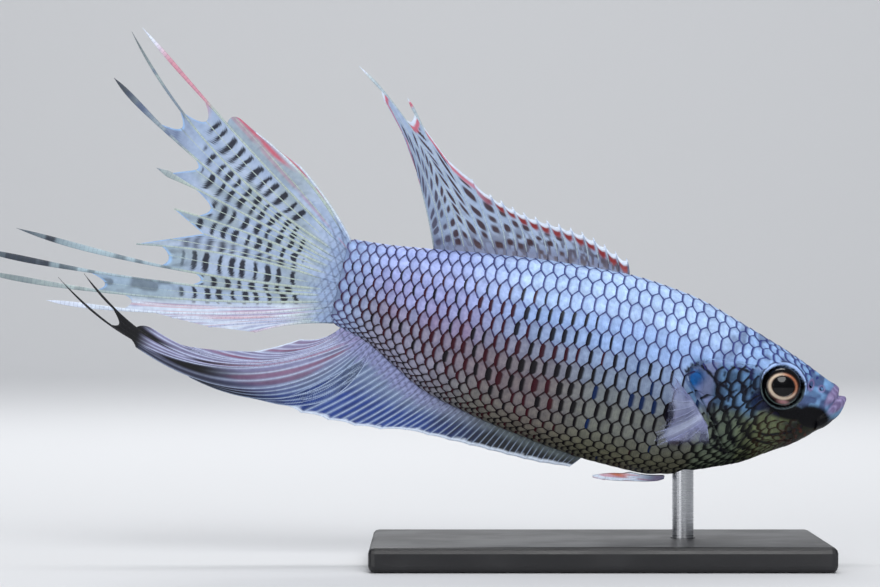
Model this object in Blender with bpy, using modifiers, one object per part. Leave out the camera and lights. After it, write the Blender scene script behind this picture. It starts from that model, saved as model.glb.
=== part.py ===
# A male black paradise fish, life size, held on a plain display stand.
# Sizes are millimetres in the fish's own frame: s runs back from the tip of the lower
# lip, h runs up from the long axis and y runs sideways, with the fish's right side at
# negative y. place() turns them into metres in the world, +X ahead and +Z up.

import math

import bmesh
import bpy
from mathutils import Vector

MM = 0.001
GAP = 0.3
PITCH = math.radians(12.9)
SNOUT_X, SNOUT_Z = 35.0, 22.7

# Stations of the body: s, back line, belly line, half width, height of the widest line.
BODY = (
    (1.25, 1.70, -2.00, 1.00, -0.20),
    (1.60, 1.95, -3.10, 1.35, -0.30),
    (3.00, 2.47, -4.75, 2.10, -0.50),
    (5.90, 3.80, -7.45, 3.15, -0.80),
    (9.00, 5.05, -9.40, 4.15, -1.10),
    (12.60, 6.30, -11.70, 4.85, -1.50),
    (17.70, 7.95, -13.85, 5.45, -2.00),
    (22.50, 9.40, -15.70, 5.80, -2.40),
    (26.50, 10.15, -16.35, 5.95, -2.60),
    (33.50, 10.75, -16.20, 6.00, -2.60),
    (43.60, 10.30, -15.00, 5.45, -2.00),
    (52.10, 9.40, -13.45, 4.60, -1.20),
    (57.90, 8.65, -12.00, 3.90, -0.60),
    (63.30, 7.85, -9.35, 3.15, 0.10),
    (68.20, 7.25, -6.80, 2.50, 0.50),
    (73.40, 6.90, -5.40, 1.90, 0.70),
)
BACK_POWER, BELLY_POWER = 2.05, 1.9
RING_POINTS = 28
NECK_S, STEM_S, STEM_END_S = 17.6, 56.0, 73.4

# Lower jaw: s, upper line, lower line, half width.
JAW = (
    (-0.08, 0.45, 0.10, 0.25),
    (0.10, 0.72, -0.75, 0.85),
    (0.45, 0.75, -1.95, 1.25),
    (1.10, 0.50, -2.85, 1.60),
    (2.10, -0.50, -4.10, 2.00),
    (3.40, -2.20, -5.05, 2.10),
)
MOUTH_FRONT, MOUTH_CORNER = (0.95, 1.0), (2.75, -2.30)
MOUTH_SLIT = 0.32
UPPER_LIP = ((1.70, 1.15), (2.95, -1.95))
LOWER_LIP = ((0.55, 0.15), (2.30, -2.70))
LIP_RADIUS, LIP_SPREAD = 0.5, 1.9

EYE_S, EYE_H = 9.3, 0.25
EYE_RADIUS, EYE_DEPTH, EYE_PROUD = 2.85, 1.9, 0.75
ORBIT_RADIUS, ORBIT_RIM = 3.25, 0.34
NOSTRILS = ((5.4, 1.35), (3.8, 1.15))
NOSTRIL_RADIUS, NOSTRIL_RIM, NOSTRIL_DEPTH = 0.42, 0.17, 0.7

# Outline of a gill cover, round from its front upper corner.
GILL_OUTLINE = (
    (13.2, 1.3),
    (17.0, 2.0),
    (20.9, 1.1),
    (22.8, -1.4),
    (20.6, -3.9),
    (17.9, -7.0),
    (15.3, -10.1),
    (12.3, -10.4),
    (11.0, -8.4),
    (11.7, -5.4),
    (13.1, -2.2),
)
GILL_THICK, GILL_PROUD = 0.9, 0.22

WEB_THICK, RAY_THICK, TIP_THICK = 0.5, 0.86, 0.28
FREE_LEVELS, NOTCH_ROUND = 5, 0.8

DORSAL_BASE = (33.7, 61.3)
DORSAL_SPINES = 13
DORSAL_MARGIN = ((34.7, 12.9), (42.1, 15.2), (49.9, 15.9), (55.5, 17.4))
SPINE_TIP = 0.45
# Soft rays of the dorsal fin: via point, tip, and where the web behind each one ends.
DORSAL_SOFT = (
    ((55.4, 14.0), (58.4, 18.9), None),
    ((58.0, 15.0), (62.9, 21.2), (67.4, 24.0)),
    ((61.2, 17.2), (69.8, 28.0), (68.1, 24.9)),
    ((65.2, 20.8), (77.5, 30.9), (73.4, 27.6)),
    ((64.6, 18.8), (73.0, 27.0), None),
    ((63.8, 16.1), (69.4, 23.0), None),
    ((63.4, 12.7), (66.1, 17.9), None),
)

ANAL_BASE = (34.6, 71.6)
ANAL_MARGIN = (
    (36.0, -17.6),
    (41.2, -18.0),
    (50.4, -17.8),
    (59.4, -17.7),
    (65.1, -18.7),
    (72.0, -18.8),
    (78.7, -18.2),
)
ANAL_FRONT_RAYS = 15
# Rear rays of the anal fin, which run on into the black trailing filaments.
ANAL_REAR = (
    ((70.5, -15.3), (83.5, -17.7), None),
    ((74.3, -15.6), (91.0, -17.2), None),
    ((79.0, -15.9), (99.3, -14.7), (100.2, -13.9)),
    ((92.0, -15.15), (112.0, -7.6), (102.4, -12.3)),
    ((93.5, -14.0), (108.6, -6.3), (99.6, -12.4)),
    ((86.0, -13.55), (95.8, -12.75), None),
    ((80.0, -12.3), (91.3, -13.0), None),
    ((76.5, -10.1), (83.0, -11.7), None),
    ((74.0, -7.8), (77.0, -8.6), None),
)
ANAL_SWING = 1.8

# Rays of the tail fin: via point, tip, half width of the free end, 1 for a torn spike
# or 4 for a long filament, and where the web below each one ends.
TAIL_UPPER = (
    ((77.3, 11.0), (82.7, 15.4), 0.20, 1, None),
    ((81.0, 13.5), (90.6, 18.9), 0.20, 1, (91.4, 18.6)),
    ((88.6, 15.1), (108.4, 29.3), 0.42, 4, (96.6, 18.6)),
    ((99.4, 18.2), (109.7, 28.4), 0.26, 4, (100.0, 16.8)),
    ((92.0, 10.5), (110.7, 21.5), 0.55, 4, (96.2, 11.3)),
    ((90.0, 7.3), (102.1, 10.5), 0.55, 1, (93.6, 5.9)),
    ((86.7, 4.3), (98.4, 5.4), 0.50, 1, None),
    ((84.5, 2.55), (93.6, 3.25), 0.15, 1, None),
)
TAIL_LOWER = (
    ((84.5, 1.85), (93.6, 2.55), 0.15, 1, None),
    ((88.0, 0.9), (102.5, -0.6), 0.55, 1, (96.4, -1.4)),
    ((100.0, -2.9), (119.5, -2.2), 0.52, 4, (92.5, -3.4)),
    ((95.0, -4.7), (125.0, -6.3), 0.52, 4, (105.6, -7.4)),
    ((95.0, -6.8), (124.4, -9.3), 0.50, 4, (101.0, -8.8)),
    ((93.7, -8.6), (113.2, -11.2), 0.36, 4, (96.2, -9.4)),
    ((84.0, -7.0), (95.3, -9.6), 0.20, 1, None),
    ((80.5, -6.7), (90.0, -9.7), 0.20, 1, None),
    ((77.8, -6.4), (83.5, -9.0), 0.20, 1, None),
)
TAIL_ROOTS = (6.4, -5.2)
TAIL_MIDDLE, TAIL_SPLIT = 1.0, 0.7
TAIL_ROOT_THICK = 2.2

PECTORAL_BASE = ((22.3, -4.0), (18.7, -7.7))
# Tips of the pectoral fin from its upper edge to its lower one: s, h, reach outwards.
PECTORAL_TIPS = (
    (26.0, -1.2, 8.0),
    (25.6, -5.0, 11.0),
    (25.2, -7.8, 11.5),
    (26.2, -9.8, 10.5),
    (25.6, -11.6, 8.5),
    (18.2, -10.0, 5.0),
)
PECTORAL_RAYS = 11
# A pelvic fin lies folded back along the belly: place, upper edge and lower edge.
# None stands for an upper edge just under the belly.
PELVIC_SECTIONS = (
    (22.6, None, -16.3),
    (23.3, None, -16.7),
    (24.2, None, -17.0),
    (25.2, None, -17.25),
    (26.2, None, -17.45),
    (27.2, None, -17.65),
    (28.4, -16.85, -17.9),
    (29.6, -17.1, -18.1),
    (30.8, -17.45, -18.25),
    (31.8, -17.8, -18.32),
    (32.5, -18.05, -18.35),
)
PELVIC_APART, PELVIC_RIDGE, PELVIC_VALLEY, PELVIC_EDGE = 0.95, 0.33, 0.26, 0.2

BASE_LENGTH, BASE_DEPTH, BASE_HEIGHT, BASE_EDGE = 64.0, 38.0, 3.5, 0.9
ROD_RADIUS, ROD_S, ROD_INTO_BELLY, ROD_INTO_BASE = 1.5, 20.1, 3.2, 2.0


def place(s, y, h):
    x = SNOUT_X - s * math.cos(PITCH) + h * math.sin(PITCH)
    z = SNOUT_Z + s * math.sin(PITCH) + h * math.cos(PITCH)
    return Vector((x, y, z)) * MM


def smooth(rows, column, x):
    # A cubic through the stations that never overshoots them.
    xs = [row[0] for row in rows]
    ys = [row[column] for row in rows]
    x = min(max(x, xs[0]), xs[-1])
    steps = [(b - a) / (q - p) for a, b, p, q in zip(ys, ys[1:], xs, xs[1:])]
    inner = [2 * a * b / (a + b) if a * b > 0 else 0.0 for a, b in zip(steps, steps[1:])]
    slopes = [steps[0], *inner, steps[-1]]
    i = max(k for k in range(len(xs) - 1) if xs[k] <= x)
    width = xs[i + 1] - xs[i]
    t = (x - xs[i]) / width
    start = ys[i] * (1 + 2 * t) * (1 - t) ** 2 + slopes[i] * width * t * (1 - t) ** 2
    end = ys[i + 1] * t * t * (3 - 2 * t) + slopes[i + 1] * width * t * t * (t - 1)
    return start + end


def body(s):
    return [smooth(BODY, column, s) for column in (1, 2, 3, 4)]


def back(s):
    return smooth(BODY, 1, s)


def belly(s):
    return smooth(BODY, 2, s)


def belly_beside(s, y):
    bottom, half, belt = body(s)[1:]
    return belt - (belt - bottom) * (1 - abs(y / half) ** BELLY_POWER) ** (1 / BELLY_POWER)


def flank(s, h):
    top, bottom, half, belt = body(s)
    reach, power = (top - belt, BACK_POWER) if h >= belt else (belt - bottom, BELLY_POWER)
    return half * max(0.0, 1 - (abs(h - belt) / reach) ** power) ** (1 / power)


def skin_normal(s, h, side):
    small = 0.05
    along = (flank(s + small, h) - flank(s - small, h)) / (2 * small)
    up = (flank(s, h + small) - flank(s, h - small)) / (2 * small)
    return Vector((-along, side, -up)).normalized()


def on_skin(s, h, side, lift=0.0):
    return Vector((s, side * flank(s, h), h)) + skin_normal(s, h, side) * lift


def to_world(point):
    return place(*point)


def material(name, colour, roughness, metallic=0.0):
    made = bpy.data.materials.new(name)
    made.use_nodes = True
    shader = made.node_tree.nodes["Principled BSDF"]
    shader.inputs["Base Color"].default_value = (*colour, 1.0)
    shader.inputs["Roughness"].default_value = roughness
    shader.inputs["Metallic"].default_value = metallic
    return made


def add_object(name, mesh, finish=None, smooth_shaded=True):
    obj = bpy.data.objects.new(name, mesh)
    fish.objects.link(obj)
    if finish:
        mesh.materials.append(finish)
    if smooth_shaded:
        mesh.shade_smooth()
    return obj


def mesh_from(form, name):
    form.normal_update()
    bmesh.ops.recalc_face_normals(form, faces=form.faces)
    mesh = bpy.data.meshes.new(name)
    form.to_mesh(mesh)
    form.free()
    return mesh


def loft(name, rings):
    # A closed skin over rings of equal count, with a fan over each end.
    form = bmesh.new()
    rows = [[form.verts.new(to_world(point)) for point in ring] for ring in rings]
    count = len(rings[0])
    for near, far in zip(rows, rows[1:]):
        for k in range(count):
            after = (k + 1) % count
            form.faces.new((near[k], near[after], far[after], far[k]))
    for row in (rows[0], rows[-1]):
        middle = form.verts.new(sum((v.co for v in row), Vector()) / count)
        for k in range(count):
            form.faces.new((row[k], row[(k + 1) % count], middle))
    return add_object(name, mesh_from(form, name))


def body_ring(s):
    top, bottom, half, belt = body(s)
    ring = []
    for k in range(RING_POINTS):
        turn = 2 * math.pi * k / RING_POINTS
        upper = math.cos(turn) >= 0
        reach, power = (top - belt, BACK_POWER) if upper else (belt - bottom, BELLY_POWER)
        up = math.copysign(abs(math.cos(turn)) ** (2 / power), math.cos(turn))
        out = math.copysign(abs(math.sin(turn)) ** (2 / power), math.sin(turn))
        ring.append(Vector((s, half * out, belt + reach * up)))
    return ring


def jaw_ring(s, top, bottom, half):
    middle, reach = (top + bottom) / 2, (top - bottom) / 2
    turns = [2 * math.pi * k / RING_POINTS for k in range(RING_POINTS)]
    return [Vector((s, half * math.sin(t), middle + reach * math.cos(t))) for t in turns]


def spread(start, end, step):
    count = max(1, round((end - start) / step))
    return [start + (end - start) * k / count for k in range(count + 1)]


def tube(name, points, radii, sides=8):
    rings = []
    for k, point in enumerate(points):
        ahead = points[min(k + 1, len(points) - 1)] - points[max(k - 1, 0)]
        across = ahead.cross(Vector((0.3, 0.1, 1.0))).normalized()
        lift = across.cross(ahead).normalized()
        turns = [2 * math.pi * i / sides for i in range(sides)]
        rings.append([point + (across * math.cos(t) + lift * math.sin(t)) * radii[k] for t in turns])
    return loft(name, rings)


def lip(name, front, corner, radius):
    # A tapered roll of flesh that goes round the front of the jaw from corner to corner.
    points, radii = [], []
    steps = 12
    for k in range(steps + 1):
        turn = math.pi * (k / steps - 0.5)
        back_share = 1 - math.cos(turn)
        s = front[0] + (corner[0] - front[0]) * back_share
        h = front[1] + (corner[1] - front[1]) * back_share
        points.append(Vector((s, LIP_SPREAD * math.sin(turn), h)))
        radii.append(radius * (0.6 + 0.4 * math.cos(turn)))
    return tube(name, points, radii)


def ellipsoid(name, centre, normal, radii, columns=20, rows=12):
    form = bmesh.new()
    bmesh.ops.create_uvsphere(form, u_segments=columns, v_segments=rows, radius=1.0)
    turn = normal.to_track_quat("Z", "Y")
    for v in form.verts:
        local = Vector((v.co.x * radii[0], v.co.y * radii[1], v.co.z * radii[2]))
        v.co = to_world(centre + turn @ local)
    return add_object(name, mesh_from(form, name))


def torus(name, centre, normal, radius, thick, around=20, sides=6):
    form = bmesh.new()
    turn = normal.to_track_quat("Z", "Y")
    rows = []
    for i in range(around):
        a = 2 * math.pi * i / around
        row = []
        for j in range(sides):
            b = 2 * math.pi * j / sides
            out = radius + thick * math.cos(b)
            local = Vector((out * math.cos(a), out * math.sin(a), thick * math.sin(b)))
            row.append(form.verts.new(to_world(centre + turn @ local)))
        rows.append(row)
    for i in range(around):
        for j in range(sides):
            near, far = rows[i], rows[(i + 1) % around]
            form.faces.new((near[j], near[(j + 1) % sides], far[(j + 1) % sides], far[j]))
    return add_object(name, mesh_from(form, name))


def block(name, centre, half_sizes, turn):
    form = bmesh.new()
    bmesh.ops.create_cube(form, size=2.0)
    for v in form.verts:
        local = Vector([v.co[i] * half_sizes[i] for i in range(3)])
        v.co = to_world(centre + turn @ local)
    return add_object(name, mesh_from(form, name))


def combine(obj, operation, others, solver="EXACT"):
    # One Boolean with a collection of closed meshes, applied, and its pieces removed.
    pieces = bpy.data.collections.new("pieces")
    bpy.context.scene.collection.children.link(pieces)
    for other in others:
        fish.objects.unlink(other)
        pieces.objects.link(other)
    change = obj.modifiers.new(operation.lower(), "BOOLEAN")
    change.operation = operation
    change.operand_type = "COLLECTION"
    change.collection = pieces
    change.solver = solver
    bpy.context.view_layer.update()
    graph = bpy.context.evaluated_depsgraph_get()
    result = bpy.data.meshes.new_from_object(obj.evaluated_get(graph))
    obj.modifiers.clear()
    obj.data = result
    for other in others:
        bpy.data.objects.remove(other)
    bpy.data.collections.remove(pieces)
    keep_largest(obj)


def keep_largest(obj):
    form = bmesh.new()
    form.from_mesh(obj.data)
    left, shells = set(form.verts), []
    while left:
        shell, edge_of = set(), [left.pop()]
        while edge_of:
            v = edge_of.pop()
            shell.add(v)
            for edge in v.link_edges:
                other = edge.other_vert(v)
                if other in left:
                    left.discard(other)
                    edge_of.append(other)
        shells.append(shell)
    largest = max(shells, key=len)
    bmesh.ops.delete(form, geom=[v for v in form.verts if v not in largest], context="VERTS")
    form.to_mesh(obj.data)
    form.free()


def gill_ring(fraction, grow):
    # Points of the gill cover's outline, drawn in towards its middle by the fraction.
    count = len(GILL_OUTLINE)
    middle = Vector((sum(p[0] for p in GILL_OUTLINE), sum(p[1] for p in GILL_OUTLINE))) / count
    ring = []
    for i in range(count):
        p0, p1, p2, p3 = (Vector(GILL_OUTLINE[(i + k - 1) % count]) for k in range(4))
        for t in (0.0, 1 / 3, 2 / 3):
            bend = (2 * p0 - 5 * p1 + 4 * p2 - p3) * t * t + (3 * p1 - p0 - 3 * p2 + p3) * t**3
            point = p1 + 0.5 * ((p2 - p0) * t + bend)
            away = (point - middle) * fraction
            ring.append(middle + away + away.normalized() * grow * fraction)
    return ring


def gill_plate(name, side, grow, outer, inner):
    # A plate that follows the skin, from the lift called inner to the lift called outer.
    # The rings run in over the outer face and back out over the inner one.
    outside = [(1.0, 0.45 * outer), (0.93, outer), (0.6, outer), (0.2, outer)]
    inside = [(0.2, inner), (0.6, inner), (1.0, inner)]
    rings = []
    for fraction, lift in outside + inside:
        rings.append([on_skin(p.x, p.y, side, lift) for p in gill_ring(fraction, grow)])
    form = bmesh.new()
    rows = [[form.verts.new(to_world(point)) for point in ring] for ring in rings]
    count = len(rings[0])
    for near, far in zip(rows, rows[1:] + rows[:1]):
        if near is rows[3]:
            continue
        for k in range(count):
            after = (k + 1) % count
            form.faces.new((near[k], near[after], far[after], far[k]))
    for row in rows[3:5]:
        middle = form.verts.new(sum((v.co for v in row), Vector()) / count)
        for k in range(count):
            form.faces.new((row[k], row[(k + 1) % count], middle))
    bmesh.ops.triangulate(form, faces=form.faces)
    return add_object(name, mesh_from(form, name))


def curve_through(root, via, tip):
    # A quadratic path through three points, paced by the distance between them.
    share = (via - root).length / ((via - root).length + (tip - via).length)

    def at(t):
        a = (t - share) * (t - 1) / share
        b = t * (t - 1) / (share * (share - 1))
        c = t * (t - share) / (1 - share)
        return root * a + via * b + tip * c

    return at


def nearest(path, s, h):
    steps = [k / 200 for k in range(201)]
    return min(steps, key=lambda t: (path(t).x - s) ** 2 + (path(t).z - h) ** 2)


def ray(root, via, tip, free_half=0.2, taper=1, web_end=None):
    return {
        "path": curve_through(root, via, tip),
        "free_half": free_half,
        "taper": taper,
        "web_end": web_end,
    }


def web_ends(rays):
    # For each ray, how far along it the web on its fore side and its rear side reaches.
    # A notch is round, so the web runs further out along the rays than its deepest point.
    ends = [[1.0, 1.0] for _ in rays]
    for i in range(len(rays) - 1):
        mark = rays[i]["web_end"]
        if mark is None:
            continue
        for k, edge in ((i, 1), (i + 1, 0)):
            path = rays[k]["path"]
            length = (path(1.0) - path(0.0)).length
            if isinstance(mark, float):
                ends[k][edge] = 1 - mark / length
                continue
            t = nearest(path, *mark)
            apart = (path(t) - Vector((mark[0], 0.0, mark[1]))).length
            ends[k][edge] = min(1.0, t + NOTCH_ROUND * apart / length)
    ends[0][0] = ends[0][1]
    ends[-1][1] = ends[-1][0]
    return ends


def fin(name, rays, finish, levels, sway=None, root_thick=1.2, root_fade=3.0):
    # A web of skin between raised rays, whose free ends run on past its margin.
    form = bmesh.new()
    layer = form.verts.layers.deform.verify()
    ends = web_ends(rays)
    full = max(root_thick, RAY_THICK)
    count = len(rays)

    def vertex(point, thick, from_root):
        moved = point.copy()
        if sway:
            moved.y += sway(point.x, point.z)
        extra = (root_thick - thick) * max(0.0, 1 - from_root / root_fade) ** 2
        v = form.verts.new(to_world(moved))
        v[layer][0] = (thick + max(0.0, extra)) / full
        return v

    def neighbours(i):
        return [k for k in (i - 1, i + 1) if 0 <= k < count]

    def normal_of(i):
        before, after = rays[max(i - 1, 0)]["path"], rays[min(i + 1, count - 1)]["path"]
        along = rays[i]["path"](0.7) - rays[i]["path"](0.0)
        return along.cross(after(0.0) - before(0.0)).normalized()

    def room(i, share):
        # A ray takes at most a third of the way across to its nearest neighbour.
        path, t = rays[i]["path"], sum(ends[i]) / 2 * share
        ahead = (path(t + 0.01) - path(t - 0.01)).normalized()
        gaps = [rays[k]["path"](sum(ends[k]) / 2 * share) - path(t) for k in neighbours(i)]
        return max(0.06, min((gap - ahead * gap.dot(ahead)).length for gap in gaps) / 3)

    strips = []
    for i, one in enumerate(rays):
        path, normal = one["path"], normal_of(i)
        free = min(ends[i]) < 0.97
        strip = []
        for j in range(levels + (FREE_LEVELS if free else 0) + 1):
            row = []
            for edge in (0, 1, 2):
                end = (ends[i][0], sum(ends[i]) / 2, ends[i][1])[edge]
                if j <= levels:
                    share = j / levels
                    t = end * share
                    half = 0.2 + (one["free_half"] - 0.2) * share**3
                    if not free or j < levels:
                        half = min(half, room(i, share))
                    thick = RAY_THICK if edge == 1 else WEB_THICK
                else:
                    share = (j - levels) / FREE_LEVELS
                    t = end + (1 - end) * share
                    half = max(0.06, one["free_half"] * (1 - share ** one["taper"]))
                    thick = RAY_THICK if edge == 1 else WEB_THICK
                    thick += (TIP_THICK - thick) * share
                point = path(t)
                ahead = path(min(t + 0.01, 1.0)) - path(min(t, 0.99))
                across = normal.cross(ahead).normalized()
                row.append(vertex(point + across * half * (edge - 1), thick, (point - path(0)).length))
            strip.append(row)
        strips.append(strip)
    for strip in strips:
        for near, far in zip(strip, strip[1:]):
            for k in (0, 1):
                form.faces.new((near[k], near[k + 1], far[k + 1], far[k]))
    for i, (left, right) in enumerate(zip(strips, strips[1:])):
        edges = [[row[2] for row in left[: levels + 1]], [row[0] for row in right[: levels + 1]]]
        mark = rays[i]["web_end"]
        if isinstance(mark, tuple):
            # The middle of a notched web ends at the notch's deepest point.
            paths = rays[i]["path"], rays[i + 1]["path"]
            deepest = nearest(paths[0], *mark), nearest(paths[1], *mark)
            middle = []
            for j in range(levels + 1):
                ways = [path(t * j / levels) for path, t in zip(paths, deepest)]
                point = (ways[0] + ways[1]) / 2
                middle.append(vertex(point, WEB_THICK, (point - paths[0](0)).length))
            edges.insert(1, middle)
        for one, other in zip(edges, edges[1:]):
            for j in range(levels):
                form.faces.new((one[j], other[j], other[j + 1], one[j + 1]))
    bmesh.ops.triangulate(form, faces=form.faces)
    obj = add_object(name, mesh_from(form, name), finish)
    obj.vertex_groups.new(name="thickness")
    skin = obj.modifiers.new("thickness", "SOLIDIFY")
    skin.thickness = full * MM
    skin.offset = 0.0
    skin.vertex_group = "thickness"
    return obj


def clear_scene():
    for obj in list(bpy.data.objects):
        bpy.data.objects.remove(obj)


def make_head(finish):
    # The stations are closer at the snout, where the body is narrow.
    stations = [1.25, 1.35, *spread(1.6, 4.0, 0.6), *spread(4.6, NECK_S, 0.93)]
    head = loft("head", [body_ring(s) for s in stations])
    added = [
        loft("lower_jaw", [jaw_ring(*row) for row in JAW]),
        lip("upper_lip", *UPPER_LIP, LIP_RADIUS),
        lip("lower_lip", *LOWER_LIP, LIP_RADIUS),
    ]
    cutters = [mouth_slit()]
    for side in (-1, 1):
        out = skin_normal(EYE_S, EYE_H, side)
        rim_centre = on_skin(EYE_S, EYE_H, side, -0.1)
        added.append(torus("orbit", rim_centre, out, ORBIT_RADIUS, ORBIT_RIM))
        socket = [EYE_RADIUS + GAP, EYE_RADIUS + GAP, EYE_DEPTH + GAP]
        cutters.append(ellipsoid("socket", eye_centre(side), out, socket))
        for s, h in NOSTRILS:
            out = skin_normal(s, h, side)
            added.append(torus("nostril_rim", on_skin(s, h, side), out, NOSTRIL_RADIUS, NOSTRIL_RIM, 10, 5))
            inner = NOSTRIL_RADIUS - NOSTRIL_RIM * 0.6
            pit = [inner, inner, NOSTRIL_DEPTH]
            cutters.append(ellipsoid("nostril", on_skin(s, h, side), out, pit, 8, 6))
        cutters.append(gill_recess(side))
    combine(head, "UNION", added)
    combine(head, "DIFFERENCE", cutters)
    head.data.materials.append(finish)
    head.data.shade_smooth()
    return head


def mouth_slit():
    # A thin slab from in front of the lips to the corners of the mouth.
    front = Vector((MOUTH_FRONT[0], 0.0, MOUTH_FRONT[1]))
    corner = Vector((MOUTH_CORNER[0], 0.0, MOUTH_CORNER[1]))
    ahead = (front - corner).normalized()
    start = front + ahead * 1.5
    centre = (start + corner) / 2
    turn = ahead.to_track_quat("X", "Z")
    half = [(start - corner).length / 2, 2 * LIP_SPREAD, MOUTH_SLIT / 2]
    return block("mouth_slit", centre, half, turn)


def eye_centre(side):
    return on_skin(EYE_S, EYE_H, side, EYE_PROUD - EYE_DEPTH)


def gill_recess(side):
    return gill_plate("gill_recess", side, GAP, 1.6, -GILL_THICK - GAP)


def rod_x():
    return to_world(Vector((ROD_S, 0.0, belly(ROD_S)))).x


def rod_top():
    return to_world(Vector((ROD_S, 0.0, belly(ROD_S)))).z + ROD_INTO_BELLY * MM


def upright(name, radius, bottom, top, sides=28):
    form = bmesh.new()
    bmesh.ops.create_cone(
        form, cap_ends=True, segments=sides, radius1=radius * MM, radius2=radius * MM, depth=top - bottom
    )
    bmesh.ops.translate(form, verts=form.verts, vec=(rod_x(), 0.0, (top + bottom) / 2))
    return add_object(name, mesh_from(form, name), smooth_shaded=False)


def make_trunk(finish):
    trunk = loft("trunk", [body_ring(s) for s in spread(NECK_S + GAP, STEM_S, 1.9)])
    cutters = [gill_recess(side) for side in (-1, 1)]
    hole_top = rod_top() + GAP * MM
    cutters.append(upright("rod_hole", ROD_RADIUS + GAP, 0.0, hole_top))
    combine(trunk, "DIFFERENCE", cutters)
    trunk.data.materials.append(finish)
    trunk.data.shade_smooth()
    return trunk


def make_tail_stem(finish):
    stem = loft("tail_stem", [body_ring(s) for s in spread(STEM_S + GAP, STEM_END_S, 1.9)])
    stem.data.materials.append(finish)
    return stem


def make_gill_cover(side, label, finish):
    plate = gill_plate("gill_cover_" + label, side, 0.0, GILL_PROUD, -GILL_THICK)
    plate.data.materials.append(finish)
    return plate


def make_eye(side, label, finish):
    out = skin_normal(EYE_S, EYE_H, side)
    radii = [EYE_RADIUS, EYE_RADIUS, EYE_DEPTH]
    eye = ellipsoid("eye_" + label, eye_centre(side), out, radii)
    eye.data.materials.append(finish)
    return eye


def make_dorsal_fin(finish):
    total = DORSAL_SPINES + len(DORSAL_SOFT)
    roots = spread(*DORSAL_BASE, (DORSAL_BASE[1] - DORSAL_BASE[0]) / (total - 1))
    first_tip, last_tip = DORSAL_MARGIN[0][0], DORSAL_MARGIN[-1][0]
    rays = []
    for i, s in enumerate(roots):
        root = Vector((s, 0.0, back(s) + GAP))
        if i < DORSAL_SPINES:
            tip_s = first_tip + (last_tip - first_tip) * i / (DORSAL_SPINES - 1)
            tip = Vector((tip_s, 0.0, smooth(DORSAL_MARGIN, 1, tip_s)))
            via = (root + tip) / 2 + Vector((-0.04, 0.0, 0.04)) * (tip - root).length
            rays.append(ray(root, via, tip, 0.22, 1, SPINE_TIP))
            continue
        via, tip, web_end = DORSAL_SOFT[i - DORSAL_SPINES]
        via, tip = Vector((via[0], 0.0, via[1])), Vector((tip[0], 0.0, tip[1]))
        rays.append(ray(root, via, tip, 0.32, 2, web_end))
    rays[DORSAL_SPINES - 1]["web_end"] = None

    def sway(s, h):
        return 0.45 * math.sin((s - DORSAL_BASE[0]) / 7.0) * (h - back(min(s, DORSAL_BASE[1]))) / 12.0

    return fin("dorsal_fin", rays, finish, 4, sway)


def make_anal_fin(finish):
    total = ANAL_FRONT_RAYS + len(ANAL_REAR)
    roots = spread(*ANAL_BASE, (ANAL_BASE[1] - ANAL_BASE[0]) / (total - 1))
    first_tip, last_tip = ANAL_MARGIN[0][0], ANAL_MARGIN[-1][0]
    rays = []
    for i, s in enumerate(roots):
        root = Vector((s, 0.0, belly(s) - GAP))
        if i < ANAL_FRONT_RAYS:
            share = i / (ANAL_FRONT_RAYS - 1)
            tip_s = first_tip + (last_tip - first_tip) * (0.62 * share + 0.38 * share * share)
            tip = Vector((tip_s, 0.0, smooth(ANAL_MARGIN, 1, tip_s)))
            via = (root + tip) / 2 + Vector((0.02, 0.0, -0.05)) * (tip - root).length
            rays.append(ray(root, via, tip, 0.22, 1, None))
            continue
        via, tip, web_end = ANAL_REAR[i - ANAL_FRONT_RAYS]
        via, tip = Vector((via[0], 0.0, via[1])), Vector((tip[0], 0.0, tip[1]))
        rays.append(ray(root, via, tip, 0.26, 2, web_end))

    def sway(s, h):
        ripple = 0.3 * math.sin((s - ANAL_BASE[0]) / 5.0) * (belly(s) - h) / 6.0
        return ripple * (s < STEM_END_S) - ANAL_SWING * (max(0.0, s - 74.0) / 34.0) ** 1.3

    return fin("anal_fin", rays, finish, 6, sway)


def tail_sway(s, h):
    share = (s - STEM_END_S) / 40.0
    return -0.05 * h * share**2 + 0.3 * math.sin(0.45 * h) * share


def make_tail_lobe(name, rows, roots, finish):
    rays = []
    for k, (via, tip, free_half, taper, web_end) in enumerate(rows):
        root_h = roots[0] + (roots[1] - roots[0]) * k / (len(rows) - 1)
        root = Vector((STEM_END_S + GAP, 0.0, root_h))
        via, tip = Vector((via[0], 0.0, via[1])), Vector((tip[0], 0.0, tip[1]))
        rays.append(ray(root, via, tip, free_half, taper, web_end))
    return fin(name, rays, finish, 6, tail_sway, TAIL_ROOT_THICK, 5.0)


def make_pectoral_fin(side, label, finish):
    rows = [(k / (len(PECTORAL_TIPS) - 1), *row) for k, row in enumerate(PECTORAL_TIPS)]
    rays = []
    for i in range(PECTORAL_RAYS):
        share = i / (PECTORAL_RAYS - 1)
        s = PECTORAL_BASE[0][0] + (PECTORAL_BASE[1][0] - PECTORAL_BASE[0][0]) * share
        h = PECTORAL_BASE[0][1] + (PECTORAL_BASE[1][1] - PECTORAL_BASE[0][1]) * share
        root = on_skin(s, h, side, GAP + 0.2)
        tip_s, tip_h, reach = (smooth(rows, column, share) for column in (1, 2, 3))
        tip = Vector((tip_s, root.y + side * reach, tip_h))
        via = (root + tip) / 2 + skin_normal(s, h, side) * 0.1 * reach
        rays.append(ray(root, via, tip, 0.2, 1, None))
    return fin("pectoral_fin_" + label, rays, finish, 5, root_thick=0.9)


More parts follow.
